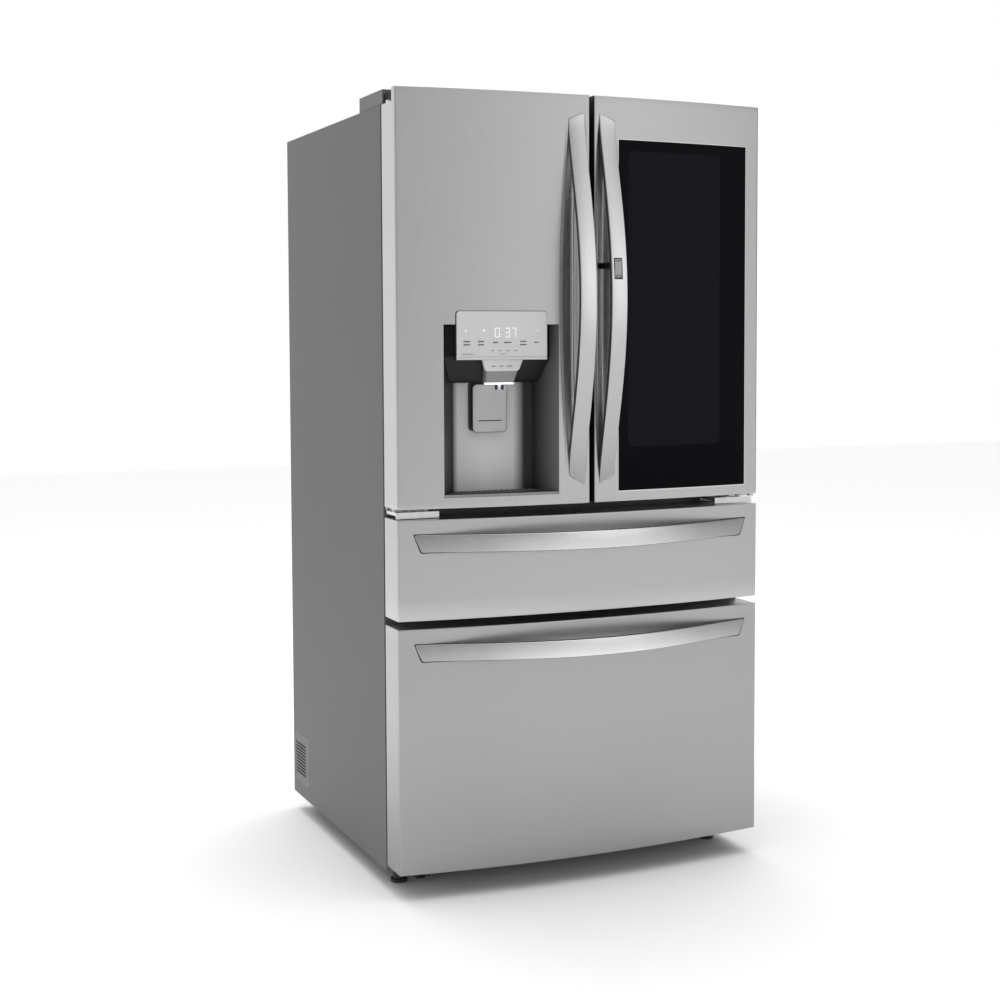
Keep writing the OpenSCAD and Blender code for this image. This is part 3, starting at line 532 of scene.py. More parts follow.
# The upright scoops run beside the doors' meeting line: a stepped rim, a long slope that faces the meeting
# line, and a steeper rise to the inner edge. They are widest and deepest at mid height.
GRIP_MID = 1324 * MM
SCOOP_HALF = 404 * MM
SCOOP_DEEP = 23 * MM
SCOOP_INNER = 12 * MM
SCOOP_FLOOR = 37 * MM
RIM_STEP = 1.6 * MM
RIM_SLOPE = 2.4 * MM
RIM_WIDTH = 7.5 * MM
SCOOP_CUTS = 12


def eased(f, bend=0.2):
    """A straight rise from 0 to 1 that bends softly at both ends."""
    if f < bend:
        return f * f / (2 * bend * (1 - bend))
    if f > 1 - bend:
        return 1 - (1 - f) ** 2 / (2 * bend * (1 - bend))
    return (f - bend / 2) / (1 - bend)


def scoop_section(z, outer_low, outer_swell):
    """Points of the scoop at z, as distances from the meeting line and depths, from inner to outer edge."""
    t = min(1.0, abs(z - GRIP_MID) / SCOOP_HALF)
    full = (1 - t * t) ** 0.6
    outer = outer_low + outer_swell * (1 - t * t)
    deep, step, inside = SCOOP_DEEP * full, RIM_STEP * full, outer - RIM_WIDTH
    cuts = [k / SCOOP_CUTS for k in range(SCOOP_CUTS + 1)]
    points = [(blend(SCOOP_INNER, SCOOP_FLOOR, f), deep * eased(f)) for f in cuts]
    points += [(blend(SCOOP_FLOOR, inside, f), deep - (deep - step) * eased(f / 2, 0.12) / eased(0.5, 0.12))
               for f in cuts[1:]]
    edge = outer - RIM_SLOPE * max(full, 0.2)
    points += [(inside + 1 * MM, step), (edge - 0.8 * MM, step), (edge, step)]
    return points + [(outer, 0.0), (outer + 0.5 * MM, 0.0)]


def door_place(side, outer_low, outer_swell, others):
    """Stations of a door, each an x and a depth: those of the scoop, and the others on the bow."""
    def place(z):
        stations = [(side * d, depth) for d, depth in scoop_section(z, outer_low, outer_swell)]
        return sorted(stations + [(x, 0.0) for x in others])
    return place


def door_rows(low, high, extra, lip):
    first, last = edge_rows(low, high)
    scoop_ends = [GRIP_MID - SCOOP_HALF, GRIP_MID + SCOOP_HALF]
    stops = sorted([first[-1], last[0]] + scoop_ends + list(extra) + [lip - 0.1 * MM, lip + 0.1 * MM])
    middle = chained(*[spaced(a, b, 14 * MM) for a, b in zip(stops, stops[1:])])
    return chained(first, middle, last)


SHEET = 1.5 * MM


def thicken(obj):
    """Gives a front's skin the thickness of its sheet, towards the back."""
    add_modifier(obj, "SOLIDIFY", "sheet", thickness=SHEET, offset=-1.0, use_even_offset=True)
    baked(obj, 28.0)


# ---- Left door's sheet ----

HOUSING_LO, HOUSING_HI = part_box("dispenser_housing")
NICHE_WALL = 3 * MM
NICHE_SET = 1.5 * MM
NICHE_ROUND = 16 * MM
NICHE_X = (HOUSING_LO.x - NICHE_WALL, HOUSING_HI.x + 5.5 * MM)
NICHE_Z = (HOUSING_LO.z - 1.5 * MM, HOUSING_HI.z - NICHE_WALL)

# Each scoop: how far its outer edge is from the meeting line at its ends, and how much further at mid height.
LEFT_SCOOP = (60 * MM, 19.5 * MM)
RIGHT_SCOOP = (57 * MM, 4 * MM)
SCOOP_STARTS = 1.9 * MM
MEETING_EDGE = 8 * MM


def mark_scoop(obj, side):
    """Gives the scoop smoother drawn steel, a little darker as painted shade in the recess, and the side at
    the meeting line near-black as painted shade in the gap.
    """
    obj.data.materials.append(SCOOP_STEEL)
    obj.data.materials.append(MEETING_GAP_SHADE)
    for polygon in obj.data.polygons:
        x, y, z = polygon.center
        # The sides at the meeting line get the near-black: painted shade in the gap.
        if side * x < MEETING_EDGE and abs(polygon.normal.x) > 0.7:
            polygon.material_index = 2
        in_scoop = SCOOP_INNER < side * x < sum(LEFT_SCOOP) - RIM_WIDTH and abs(z - GRIP_MID) < SCOOP_HALF
        if in_scoop and y > bow_y(x) + SCOOP_STARTS:
            polygon.material_index = 1


def left_door_sheet():
    x0, x1 = DOOR_LO.x, DOOR_HI.x
    others = spaced(x0 + CORNER + 1 * MM, NICHE_X[0], 30 * MM) + spaced(NICHE_X[0], NICHE_X[1], 30 * MM)[1:]
    others = [x for x in others if x < -sum(LEFT_SCOOP) - 0.6 * MM]
    rows = door_rows(DOOR_LO.z, DOOR_HI.z, NICHE_Z, SHOULDER_Z)
    mesh = bowed_shell("left_door_sheet", x0, x1, rows, BACK, door_place(-1, *LEFT_SCOOP, others),
                       hole=(*NICHE_X, *NICHE_Z), lip=SHOULDER_Z)
    obj = piece("left_door_sheet", mesh, "left_door", STEEL_Z, "stainless", ["left_panel"], 25.0)
    thicken(obj)
    mark_scoop(obj, -1)


left_door_sheet()


# ---- Right outer door's sheet ----

GLASS_LO, GLASS_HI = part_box("glass_panel")
GLASS_X = (GLASS_LO.x - 4 * MM, GLASS_HI.x + 0.5 * MM)
GLASS_Z = (GLASS_LO.z - 0.5 * MM, GLASS_HI.z + 1 * MM)
GLASS_RADIUS = 3 * MM


def right_door_sheet():
    others = spaced(GLASS_X[0], GLASS_X[1], 29 * MM) + [OUTER_HI.x - CORNER - 1 * MM]
    rows = door_rows(OUTER_LO.z, OUTER_HI.z, GLASS_Z, SHOULDER_Z)
    mesh = bowed_shell("right_door_sheet", OUTER_LO.x, OUTER_HI.x, rows, OUTER_HI.y,
                       door_place(1, *RIGHT_SCOOP, others), hole=(*GLASS_X, *GLASS_Z), lip=SHOULDER_Z)
    obj = piece("right_door_sheet", mesh, "right_outer_door", STEEL_Z, "stainless", ["right_panel"], 25.0)
    thicken(obj)
    mark_scoop(obj, 1)


def bowed_plate(name, x_span, z_span, radius, proud, thick, body, material, **more):
    """A pane that follows the bow, proud of it, with rounded corners."""
    rings = []
    for x in end_stations(*x_span, radius, 12 * MM):
        cut = round_end(min(x - x_span[0], x_span[1] - x), radius)
        front = bow_y(x) - proud
        low, high = z_span[0] + cut, z_span[1] - cut
        rings.append([(x, front + thick, low), (x, front, low), (x, front, high), (x, front + thick, high)])
    return piece(name, loft(name, rings), body, material, **more)


def bowed_rim(name, x_span, z_span, radius, width, proud, body, material, **more):
    """A thin frame around a pane, its section rounded and following the bow."""
    rings = []
    section = ((0, 0.6), (0, -0.7), (0.15, -1), (0.85, -1), (1, -0.7), (1, 0.6))
    for inward, height in section:
        inset = width * inward
        ring = inset_outline(*x_span, *z_span, inset, radius - inset * 0.6, 5, 30, 4)
        rings.append([(x, bow_y(x) + proud * height, z) for x, z in ring])
    rings.append(rings[0])
    return piece(name, loft(name, rings, caps=False), body, material, **more)


right_door_sheet()
bowed_plate("door_pane", GLASS_X, GLASS_Z, GLASS_RADIUS, -0.5 * MM, 4 * MM, "right_outer_door", DOOR_GLASS,
            slot="door_glass", stands_for=["glass_panel"], smooth=50.0)
bowed_plate("window_pane", (GLASS_LO.x + 23 * MM, GLASS_HI.x - 75 * MM),
            (GLASS_LO.z + 101 * MM, GLASS_HI.z - 25 * MM), 10 * MM, -0.35 * MM, 1 * MM, "right_outer_door",
            WINDOW_GLASS, smooth=50.0)
bowed_rim("pane_rim", (GLASS_X[0] - 0.6 * MM, GLASS_X[1] + 0.6 * MM),
          (GLASS_Z[0] - 0.6 * MM, GLASS_Z[1] + 0.6 * MM), GLASS_RADIUS, 2.4 * MM, 0.5 * MM,
          "right_outer_door", CHROME, slot="stainless", smooth=50.0)


def inner_frame():
    """The white frame and the inner pane that close the outer door's back."""
    back, front = OUTER_HI.y - 0.2 * MM, OUTER_HI.y - 5 * MM
    x0, x1 = OUTER_LO.x + 3 * MM, OUTER_HI.x - 3 * MM
    z0, z1 = OUTER_LO.z + 3 * MM, SHOULDER_Z - 2 * MM
    for name, lo, hi in (("low", (x0, z0), (x1, GLASS_LO.z)), ("high", (x0, GLASS_HI.z), (x1, z1)),
                         ("inner", (x0, GLASS_LO.z), (GLASS_LO.x, GLASS_HI.z)),
                         ("outer", (GLASS_HI.x, GLASS_LO.z), (x1, GLASS_HI.z))):
        bar(f"door_frame_{name}", (lo[0], front, lo[1]), (hi[0], back, hi[1]), "right_outer_door", LINER,
            0.6 * MM, slot="liner_white")
    bar("inner_pane", (GLASS_LO.x, front + 1 * MM, GLASS_LO.z), (GLASS_HI.x, back - 0.8 * MM, GLASS_HI.z),
        "right_outer_door", DOOR_GLASS, 0.5 * MM, slot="door_glass")


inner_frame()


# ---- Drawer fronts ----

LEVEL_DEEP = 2.8 * MM
LEVEL_HALF = 405 * MM


def drawer_sheet(name, node, body, grip):
    """A drawer's steel front, with a soft cove behind its handle that starts at the top edge."""
    lo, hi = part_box(node)
    low, centre, high = grip[0].z - 14 * MM, (grip[0].z + grip[1].z) / 2, hi.z - 1.5 * MM

    def cove(x, z):
        if abs(x) >= LEVEL_HALF or not low < z < high:
            return 0.0
        along = (1 - (x / LEVEL_HALF) ** 4) ** 1.5
        if z > centre:
            return LEVEL_DEEP * along * ((high - z) / (high - centre)) ** 2
        return LEVEL_DEEP * along * (0.5 - 0.5 * math.cos(math.pi * (z - low) / (centre - low)))

    xs = spaced(-HALF + CORNER + 1 * MM, HALF - CORNER - 1 * MM, 12 * MM)
    first, last = edge_rows(lo.z, hi.z)
    rows = chained(first, spaced(first[-1], low, 40 * MM), spaced(low, last[0], 3 * MM), last)
    mesh = bowed_shell(name, -HALF, HALF, rows, hi.y, lambda z: [(x, cove(x, z)) for x in xs])
    thicken(piece(name, mesh, body, STEEL_X, "stainless", [node], smooth=25.0))
    bar(name.replace("sheet", "inner_cover"), (-HALF + 4 * MM, hi.y - 6 * MM, lo.z + 3 * MM),
        (HALF - 4 * MM, hi.y - 0.2 * MM, hi.z - 3 * MM), body, LINER, 2 * MM, slot="liner_white")


drawer_sheet("middle_drawer_sheet", "mid_front", "middle_drawer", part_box("mid_handle"))
drawer_sheet("freezer_drawer_sheet", "freezer_front", "freezer_drawer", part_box("freezer_handle"))


# ---- Handles ----

GRIP_TIP = 1.2 * MM
HANDLE_OUT = 64 * MM
FACE_THICK = 4.5 * MM
FACE_EDGE = 1.6 * MM
END_RADIUS = 4.5 * MM
# The backing shows as a near-black line around each handle: a painted shadow line.
BACKING_THICK = 8 * MM
BACKING_EDGE = 1.2 * MM
SHADOW_LINE_WIDTH = 0.9 * MM
BACKING_ENDS = 80 * MM
BACKING_STEP = 2.6 * MM
SEAT = 0.8 * MM
STRAP_STATIONS = chained([0, 0.0008, 0.002, 0.004, 0.006, 0.009], spaced(0.014, 0.986, 0.009),
                         [0.991, 0.994, 0.996, 0.998, 0.9992, 1])


def swell(t):
    return max(0.0, 1 - t * t) ** 1.5


def strap(name, frames, edge, body, material, stands_for=()):
    """A strap with rounded edges, joined from sections along its length.

    frames(s) gives the section at s from 0 to 1: the two edges of its outer face and its thickness.
    """
    arcs = 4
    out = Vector((0, -1, 0))
    rings = []
    for s in STRAP_STATIONS:
        low, high, thick = frames(s)
        low, high = Vector(low), Vector(high)
        along = (high - low).normalized()
        r = min(edge, thick * 0.45)
        ring = []
        for corner, side, face in ((low, 1, 1), (high, -1, 1), (high, -1, -1), (low, 1, -1)):
            centre = corner + along * (side * r) - out * (r if face > 0 else thick - r)
            for k in range(arcs + 1):
                turn = math.pi / 2 * k / arcs
                first, second = (-side * along, face * out) if side == face else (face * out, -side * along)
                ring.append(centre + (first * math.cos(turn) + second * math.sin(turn)) * r)
        rings.append(ring)
    return piece(name, loft(name, rings), body, material, "handle_steel", stands_for, smooth=40.0)


def handle(name, node, body, material, edges, length, end_shadow_line):
    """A handle: a steel face and a dark backing that shows as a thin line around it, a painted shadow line.

    edges(s, spread) gives the handle's two edges at s, each an x and a z, widened by spread, and how far
    the face stands out. end_shadow_line is how much of the backing shows at the ends.
    """
    def shows(s):
        return blend(end_shadow_line, SHADOW_LINE_WIDTH, min(1.0, min(s, 1 - s) * length / BACKING_ENDS))

    def section(s, spread, back, least, thickness):
        (x_low, z_low), (x_high, z_high), out = edges(s, spread)
        face = max(out - back, least)
        cut = round_end(min(s, 1 - s) * length, END_RADIUS)
        run = Vector((x_high - x_low, 0, z_high - z_low))
        step = run.normalized() * cut
        low = Vector((x_low, bow_y(x_low) - face, z_low)) + step
        high = Vector((x_high, bow_y(x_high) - face, z_high)) - step
        return low, high, min(thickness, face + SEAT)

    grip = strap(name, lambda s: section(s, 0, 0, GRIP_TIP, FACE_THICK), FACE_EDGE, body, material, [node])
    backing = strap(name + "_backing", lambda s: section(s, shows(s), BACKING_STEP, 0.4 * MM, BACKING_THICK),
                    BACKING_EDGE, body, BACKING_SHADOW)
    backing.data.materials.append(BACK_STEEL)
    for polygon in backing.data.polygons:
        if polygon.normal.y > 0.6:
            polygon.material_index = 1
    return grip, backing


def upright_handle(name, node, side, body):
    lo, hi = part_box(node)
    inner, outer = sorted((abs(lo.x), abs(hi.x)))
    length = hi.z - lo.z
    slant_low, slant_high = 22 * MM, 14 * MM

    def edges(s, spread):
        z_in = blend(lo.z - spread, hi.z + spread, s)
        z_out = blend(lo.z + slant_low - spread, hi.z - slant_high + spread, s)
        out = GRIP_TIP + (HANDLE_OUT - GRIP_TIP) * swell(2 * s - 1)
        return (side * (inner - spread), z_in), (side * (outer + spread), z_out), out

    return handle(name, node, body, HANDLE_Z, edges, length, 0.5 * MM)


def level_handle(name, node, body):
    lo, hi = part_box(node)
    low_half, high_half = 401 * MM, 418 * MM

    def edges(s, spread):
        t = 2 * s - 1
        out = GRIP_TIP + (HANDLE_OUT - GRIP_TIP) * swell(t)
        low = ((low_half + spread) * t, lo.z - spread)
        high = ((high_half + spread) * t, hi.z + spread)
        return low, high, out

    return handle(name, node, body, HANDLE_X, edges, 2 * high_half, 2.4 * MM)


upright_handle("left_grip", "left_handle", -1, "left_door")
RIGHT_GRIPS = upright_handle("right_grip", "right_handle", 1, "right_outer_door")


def latch():
    """The button in the right handle's face, its bezel, and the rod behind it."""
    lo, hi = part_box("latch_button")
    x, face, half = 34.5 * MM, FRONT - HANDLE_OUT, 10.5 * MM
    cutter_mesh = box_mesh("cutter", (x - half, face - 5 * MM, lo.z), (x + half, face + 12 * MM, hi.z))
    cutter = bpy.data.objects.new("cutter", cutter_mesh)
    SCENE.collection.objects.link(cutter)
    for part in RIGHT_GRIPS:
        add_modifier(part, "BOOLEAN", "slot", object=cutter, operation="DIFFERENCE", solver="EXACT")
        baked(part, 40.0)
    bpy.data.objects.remove(cutter)

    def framed(name, side, end, radius, y, thick, body, material, **more):
        plate(name, x - half + side, x + half - side, lo.z + end, hi.z - end, radius, y, thick, body,
              material, **more)

    # The bezel deep in the slot is near-black: painted shade in the slot.
    framed("latch_bezel", 0.1 * MM, 0.1 * MM, 1.5 * MM, face + 9.4 * MM, 1 * MM, "right_outer_door",
           BACKING_SHADOW, edge=0.3 * MM)
    framed("latch_plate", 2.4 * MM, 3 * MM, 1.2 * MM, face + 1.7 * MM, 3 * MM, "latch_button", BUTTON_GREY,
           edge=0.7 * MM, slot="button_grey", stands_for=["latch_button"])
    for k, (z, tall) in enumerate(((hi.z - 7.5 * MM, 1.6 * MM), (lo.z + 8 * MM, 1.2 * MM),
                                   (lo.z + 4.5 * MM, 1.2 * MM))):
        plate(f"latch_line_{k}", x - half + 3.6 * MM, x + half - 3.6 * MM, z, z + tall, 0.4 * MM,
              face + 1.4 * MM, 1 * MM, "latch_button", DARK_PLASTIC, edge=0.2 * MM)
    rod_x, rod_z, rod_radius, chamfer = (lo.x + hi.x) / 2, hi.z - 14.5 * MM, 7 * MM, 1 * MM
    start, end = face + 11 * MM, hi.y
    rings = []
    for y, r in ((start, rod_radius - chamfer), (start + chamfer, rod_radius), (end - chamfer, rod_radius),
                 (end, rod_radius - chamfer)):
        rings.append([(rod_x + r * math.cos(k * math.pi / 12), y, rod_z + r * math.sin(k * math.pi / 12))
                      for k in range(24)])
    piece("latch_rod", loft("latch_rod", rings), "latch_button", BLACK_SEAL, smooth=50.0)


level_handle("middle_grip", "mid_handle", "middle_drawer")
level_handle("freezer_grip", "freezer_handle", "freezer_drawer")
latch()


# ---- Dispenser ----

PANEL_LO, PANEL_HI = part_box("control_panel")
PADDLE_LO, PADDLE_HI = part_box("paddle")
NICHE_MID = (NICHE_X[0] + NICHE_X[1]) / 2
CONSOLE_MID = NICHE_MID + 4.5 * MM
NICHE_BACK = PADDLE_LO.y + 16 * MM
NICHE_BACK_X = (NICHE_X[0] + 40.5 * MM, NICHE_X[1] - 40 * MM)
HEAD_FRONT = PANEL_HI.y
HEAD_LOW = PADDLE_HI.z + 5 * MM
PANEL_PROUD = 5 * MM
DISPLAY_PROUD = 0.35 * MM


def filleted(points, radius):
    """A plan polyline with its inner corners rounded."""
    arcs = 7
    result = [points[0]]
    for before, corner, after in zip(points, points[1:], points[2:]):
        corner = Vector(corner)
        u, v = (Vector(before) - corner).normalized(), (Vector(after) - corner).normalized()
        half = u.angle(v) / 2
        centre = corner + (u + v).normalized() * radius / math.sin(half)
        start, end = (corner + w * radius / math.tan(half) - centre for w in (u, v))
        turn = start.angle(end)
        for k in range(arcs + 1):
            f = k / arcs
            spoke = start * math.sin((1 - f) * turn) + end * math.sin(f * turn)
            result.append(centre + spoke / math.sin(turn))
    return result + [points[-1]]


def painted_niche_shade():
    """Moulding painted near-black on its side walls as shade, whose back wall turns to silver between its two
    rounded corners; the right wall lightens at its front edge as painted light.
    """
    n = Nodes("niche_moulding")
    # Painted shade: near-black side walls with soft blends at the rounded corners, lighter again at the right
    # front edge as painted light.
    tones = [(0, 0.03), (0.10, 0.012), (0.15, 0.02), (0.20, 0.60), (0.45, 0.70), (0.70, 0.66), (0.80, 0.012),
             (0.88, 0.02), (1, 0.16)]
    n.colour(n.ramp(n.along("X", *NICHE_X), tones, 1.01))
    grain = n.noise(n.place(), 900.0)
    n.roughness(n.spread(grain, 0.32, 0.42))
    n.bump(grain, 0.15, 0.00002)
    n.set(Specular_IOR_Level=0.3)
    return n.owner


def niche_plan(depth_in):
    """The niche in plan, from its left front edge round the back to its right front edge."""
    left, right = NICHE_X[0] + depth_in, NICHE_X[1] - depth_in
    corners = [(left, bow_y(left) + NICHE_SET), (NICHE_BACK_X[0], NICHE_BACK), (NICHE_BACK_X[1], NICHE_BACK),
               (right, bow_y(right) + NICHE_SET)]
    return filleted(corners, NICHE_ROUND)


def wall_x(y, side):
    """x of the niche's left or right wall at y."""
    front, back = (NICHE_X[0], NICHE_BACK_X[0]) if side < 0 else (NICHE_X[1], NICHE_BACK_X[1])
    front_y = bow_y(front) + NICHE_SET
    return blend(front, back, (y - front_y) / (NICHE_BACK - front_y))


def dispenser():
    low, high = NICHE_Z[0] + 0.5 * MM, NICHE_Z[1] - 0.5 * MM
    plan = niche_plan(0.3 * MM)
    rings = [[(x, y, z) for x, y in plan] for z in spaced(low, high, 30 * MM)]
    niche = piece("niche_moulding", loft("niche_moulding", rings, closed=False), "left_door", painted_niche_shade(),
                  stands_for=["dispenser_housing"], smooth=40.0)
    add_modifier(niche, "SOLIDIFY", "wall", thickness=2.2 * MM, offset=1.0 if niche_faces_in(niche) else -1.0)
    baked(niche, 40.0)
    tray()
    head()
    key_console()
    panel()
    paddle()


def tray():
    """The drip tray: a dark slotted floor behind a low light lip."""
    low, lip_depth = NICHE_Z[0] + 0.6 * MM, 3 * MM
    plan = niche_plan(1 * MM)
    rings = [[(x, y + (lip_depth if k in (0, len(plan) - 1) else 0), z) for k, (x, y) in enumerate(plan)]
             for z in (low, low + 7 * MM)]
    piece("tray_floor", loft("tray_floor", rings), "left_door", DARK_PLASTIC, stands_for=["drip_tray"])
    rings = []
    for x in end_stations(NICHE_X[0] + 1.2 * MM, NICHE_X[1] - 1.2 * MM, 3 * MM, 12 * MM):
        y = bow_y(x) + 0.8 * MM
        rings.append([(x, y + lip_depth, low), (x, y, low), (x, y, low + 4.5 * MM),
                      (x, y + 0.8 * MM, low + 5.3 * MM), (x, y + lip_depth, low + 5.3 * MM)])
    piece("tray_lip", loft("tray_lip", rings), "left_door", MID_GREY)
    ribs = 14
    for k in range(ribs):
        x = blend(NICHE_X[0] + 44 * MM, NICHE_X[1] - 44 * MM, k / (ribs - 1))
        bar(f"tray_rib_{k}", (x - 2.4 * MM, FRONT + 26 * MM, low + 6.5 * MM),
            (x + 2.4 * MM, NICHE_BACK - 6 * MM, low + 8.6 * MM), "left_door", GREY_PLASTIC, 0.6 * MM)


def niche_faces_in(niche):
    """Whether the back wall's faces point into the door."""
    back = max(niche.data.polygons, key=lambda p: p.center.y)
    return back.normal.y > 0


def head():
    """The dark block behind the panel, sloping back to the chute's mouth."""
    profile = ((NICHE_Z[1] - 1 * MM, 0), (PANEL_LO.z + 8 * MM, 0), (PANEL_LO.z, 1.5),
               (PANEL_LO.z - 14 * MM, 9), (PANEL_LO.z - 30 * MM, 17.5), (HEAD_LOW + 8 * MM, 25),
               (HEAD_LOW + 2 * MM, 29), (HEAD_LOW, 33))
    rings = []
    for z, y in profile:
        front = HEAD_FRONT + y * MM
        back = NICHE_BACK - 1 * MM
        rings.append([(wall_x(front, -1) + 1 * MM, front, z), (wall_x(front, 1) - 1 * MM, front, z),
                      (wall_x(back, 1) - 8 * MM, back, z), (wall_x(back, -1) + 8 * MM, back, z)])
    obj = piece("dispenser_head", loft("dispenser_head", rings), "left_door", HEAD_BLACK, smooth=30.0)
    bevelled(obj, 1.5 * MM, 3)
    baked(obj, 30.0)
    obj.data.materials.append(BLACK_SEAL)
    for polygon in obj.data.polygons:
        if polygon.center.z > PANEL_LO.z + 6 * MM:
            polygon.material_index = 1


def tapered(name, rows, body, material, depth, corner, **more):
    """A block lofted downwards: each row is a height, two x ends and the front's y."""
    rings = []
    for z, x0, x1, front in rows:
        ring = outline(x0, x1, front, front + depth, min(corner, depth * 0.45))
        rings.append([(x, y, z) for x, y in ring])
    return baked(piece(name, loft(name, rings), body, material, **more), 40.0)


def key_console():
    top, keys_low, nose_low = PANEL_LO.z - 0.5 * MM, PANEL_LO.z - 25 * MM, HEAD_LOW
    rows = []
    for z in spaced(top, keys_low + 6 * MM, 6 * MM) + [keys_low + f * MM for f in (4.5, 3, 1.8, 0.8, 0.2, 0)]:
        f = (top - z) / (top - keys_low)
        cut = round_end(z - keys_low, 6 * MM)
        rows.append((z, CONSOLE_MID + blend(-52, -44, f) * MM + cut,
                     CONSOLE_MID + blend(44, 36, f) * MM - cut, HEAD_FRONT + blend(-17, -12.5, f) * MM))
    tapered("key_strip", rows, "left_door", SILVER_PANEL, 9 * MM, 2 * MM, slot="panel_silver")
    for k, (centre, half) in enumerate(((-26, 4.5), (-7, 4.5), (13, 6.5))):
        x, z = CONSOLE_MID + centre * MM, PANEL_LO.z - 15 * MM
        plate(f"key_mark_{k}", x - half * MM, x + half * MM, z, z + 2 * MM, 0.7 * MM, HEAD_FRONT - 14.8 * MM,
              1.2 * MM, "left_door", MARK_GREY, edge=0.2 * MM)
    rows = [(z, CONSOLE_MID + blend(-39, -34, f) * MM, CONSOLE_MID + blend(38, 34, f) * MM,
             HEAD_FRONT + blend(-6, 10, f) * MM)
            for f, z in ((f, blend(keys_low + 4 * MM, nose_low, f)) for f in (0, 0.15, 0.4, 0.7, 0.9, 1))]
    tapered("nozzle_nose", rows, "left_door", MID_GREY, 26 * MM, 4 * MM, slot="dispenser_black")
    plate("niche_light", CONSOLE_MID - 33 * MM, CONSOLE_MID + 34 * MM, nose_low - 3.6 * MM,
          nose_low - 0.3 * MM, 1.5 * MM, HEAD_FRONT + 11 * MM, 12 * MM, "left_door", LIGHT_BAR, edge=0.6 * MM)
    for k, centre in enumerate((-6, 9)):
        x, z = CONSOLE_MID + centre * MM, nose_low - 16 * MM
        plate(f"nozzle_tab_{k}", x - 2.6 * MM, x + 2.6 * MM, z, nose_low - 4 * MM, 2.4 * MM,
              HEAD_FRONT + 15 * MM, 5 * MM, "left_door", DARK_PLASTIC, edge=0.8 * MM)
    plate("water_nozzle", CONSOLE_MID - 2.5 * MM, CONSOLE_MID + 5 * MM, nose_low - 15 * MM,
          nose_low - 4 * MM, 3 * MM, HEAD_FRONT + 17 * MM, 6 * MM, "left_door", LINER, edge=1 * MM)


def panel_shape(name, spread, proud, material, **more):
    """The control panel's plate, or with spread its dark seat, which shows as a thin line around it."""
    x0, x1 = PANEL_LO.x - 2 * MM - spread, PANEL_HI.x - 2 * MM + spread
    high, radius = PANEL_HI.z + spread, 7 * MM
    rings = []
    for x in end_stations(x0, x1, radius, 12 * MM):
        near = min(x - x0, x1 - x)
        top, front = high - round_end(near, radius), bow_y(x) - proud
        side = 0.9 * MM * (1 - min(1.0, near / (1.2 * MM))) ** 2
        face = front + side
        lip = [(PANEL_LO.z, 1.2), (PANEL_LO.z + 0.9 * MM, 0), (PANEL_LO.z + 4.4 * MM, -0.1),
               (PANEL_LO.z + 5.4 * MM, 1.5), (PANEL_LO.z + 7.2 * MM, 1.5), (PANEL_LO.z + 8.2 * MM, 0)]
        ring = [(x, HEAD_FRONT + 0.5 * MM, PANEL_LO.z)] + [(x, face + d * MM, z) for z, d in lip]
        ring += [(x, face, top - 1.0 * MM), (x, face + 0.3 * MM, top - 0.3 * MM), (x, face + 1 * MM, top)]
        ring += [(x, bow_y(x) + 0.2 * MM, top), (x, bow_y(x) + 0.2 * MM, NICHE_Z[1] - 0.4 * MM),
                 (x, HEAD_FRONT + 0.5 * MM, NICHE_Z[1] - 0.4 * MM)]
        rings.append(ring)
    return piece(name, loft(name, rings), "left_door", material, smooth=32.0, **more)


def on_panel(name, x0, x1, z0, z1, material, radius=0.5 * MM):
    """A thin printed or lit mark on the panel's face."""
    front = bow_y((x0 + x1) / 2) - PANEL_PROUD - DISPLAY_PROUD
    plate(name, x0, x1, z0, z1, radius, front, 1.0 * MM, "left_door", material, edge=0.15 * MM)


# Which of a digit's bars are lit: top, upper right, lower right, bottom, lower left, upper left, middle.
BARS = {"0": "1111110", "3": "1111001", "7": "1110000"}


def digit(name, figure, x, z, width, height):
    w = 1.35 * MM
    half = height / 2
    spots = [(w, height - w, width - w, height), (width - w, half + w / 2, width, height - w / 2),
             (width - w, w / 2, width, half - w / 2), (w, 0, width - w, w), (0, w / 2, w, half - w / 2),
             (0, half + w / 2, w, height - w / 2), (w, half - w / 2, width - w, half + w / 2)]
    for k, (x0, z0, x1, z1) in enumerate(spots):
        if BARS[figure][k] == "1":
            on_panel(f"{name}_{k}", x + x0, x + x1, z + z0, z + z1, DIGIT_LIGHT, 0.6 * MM)


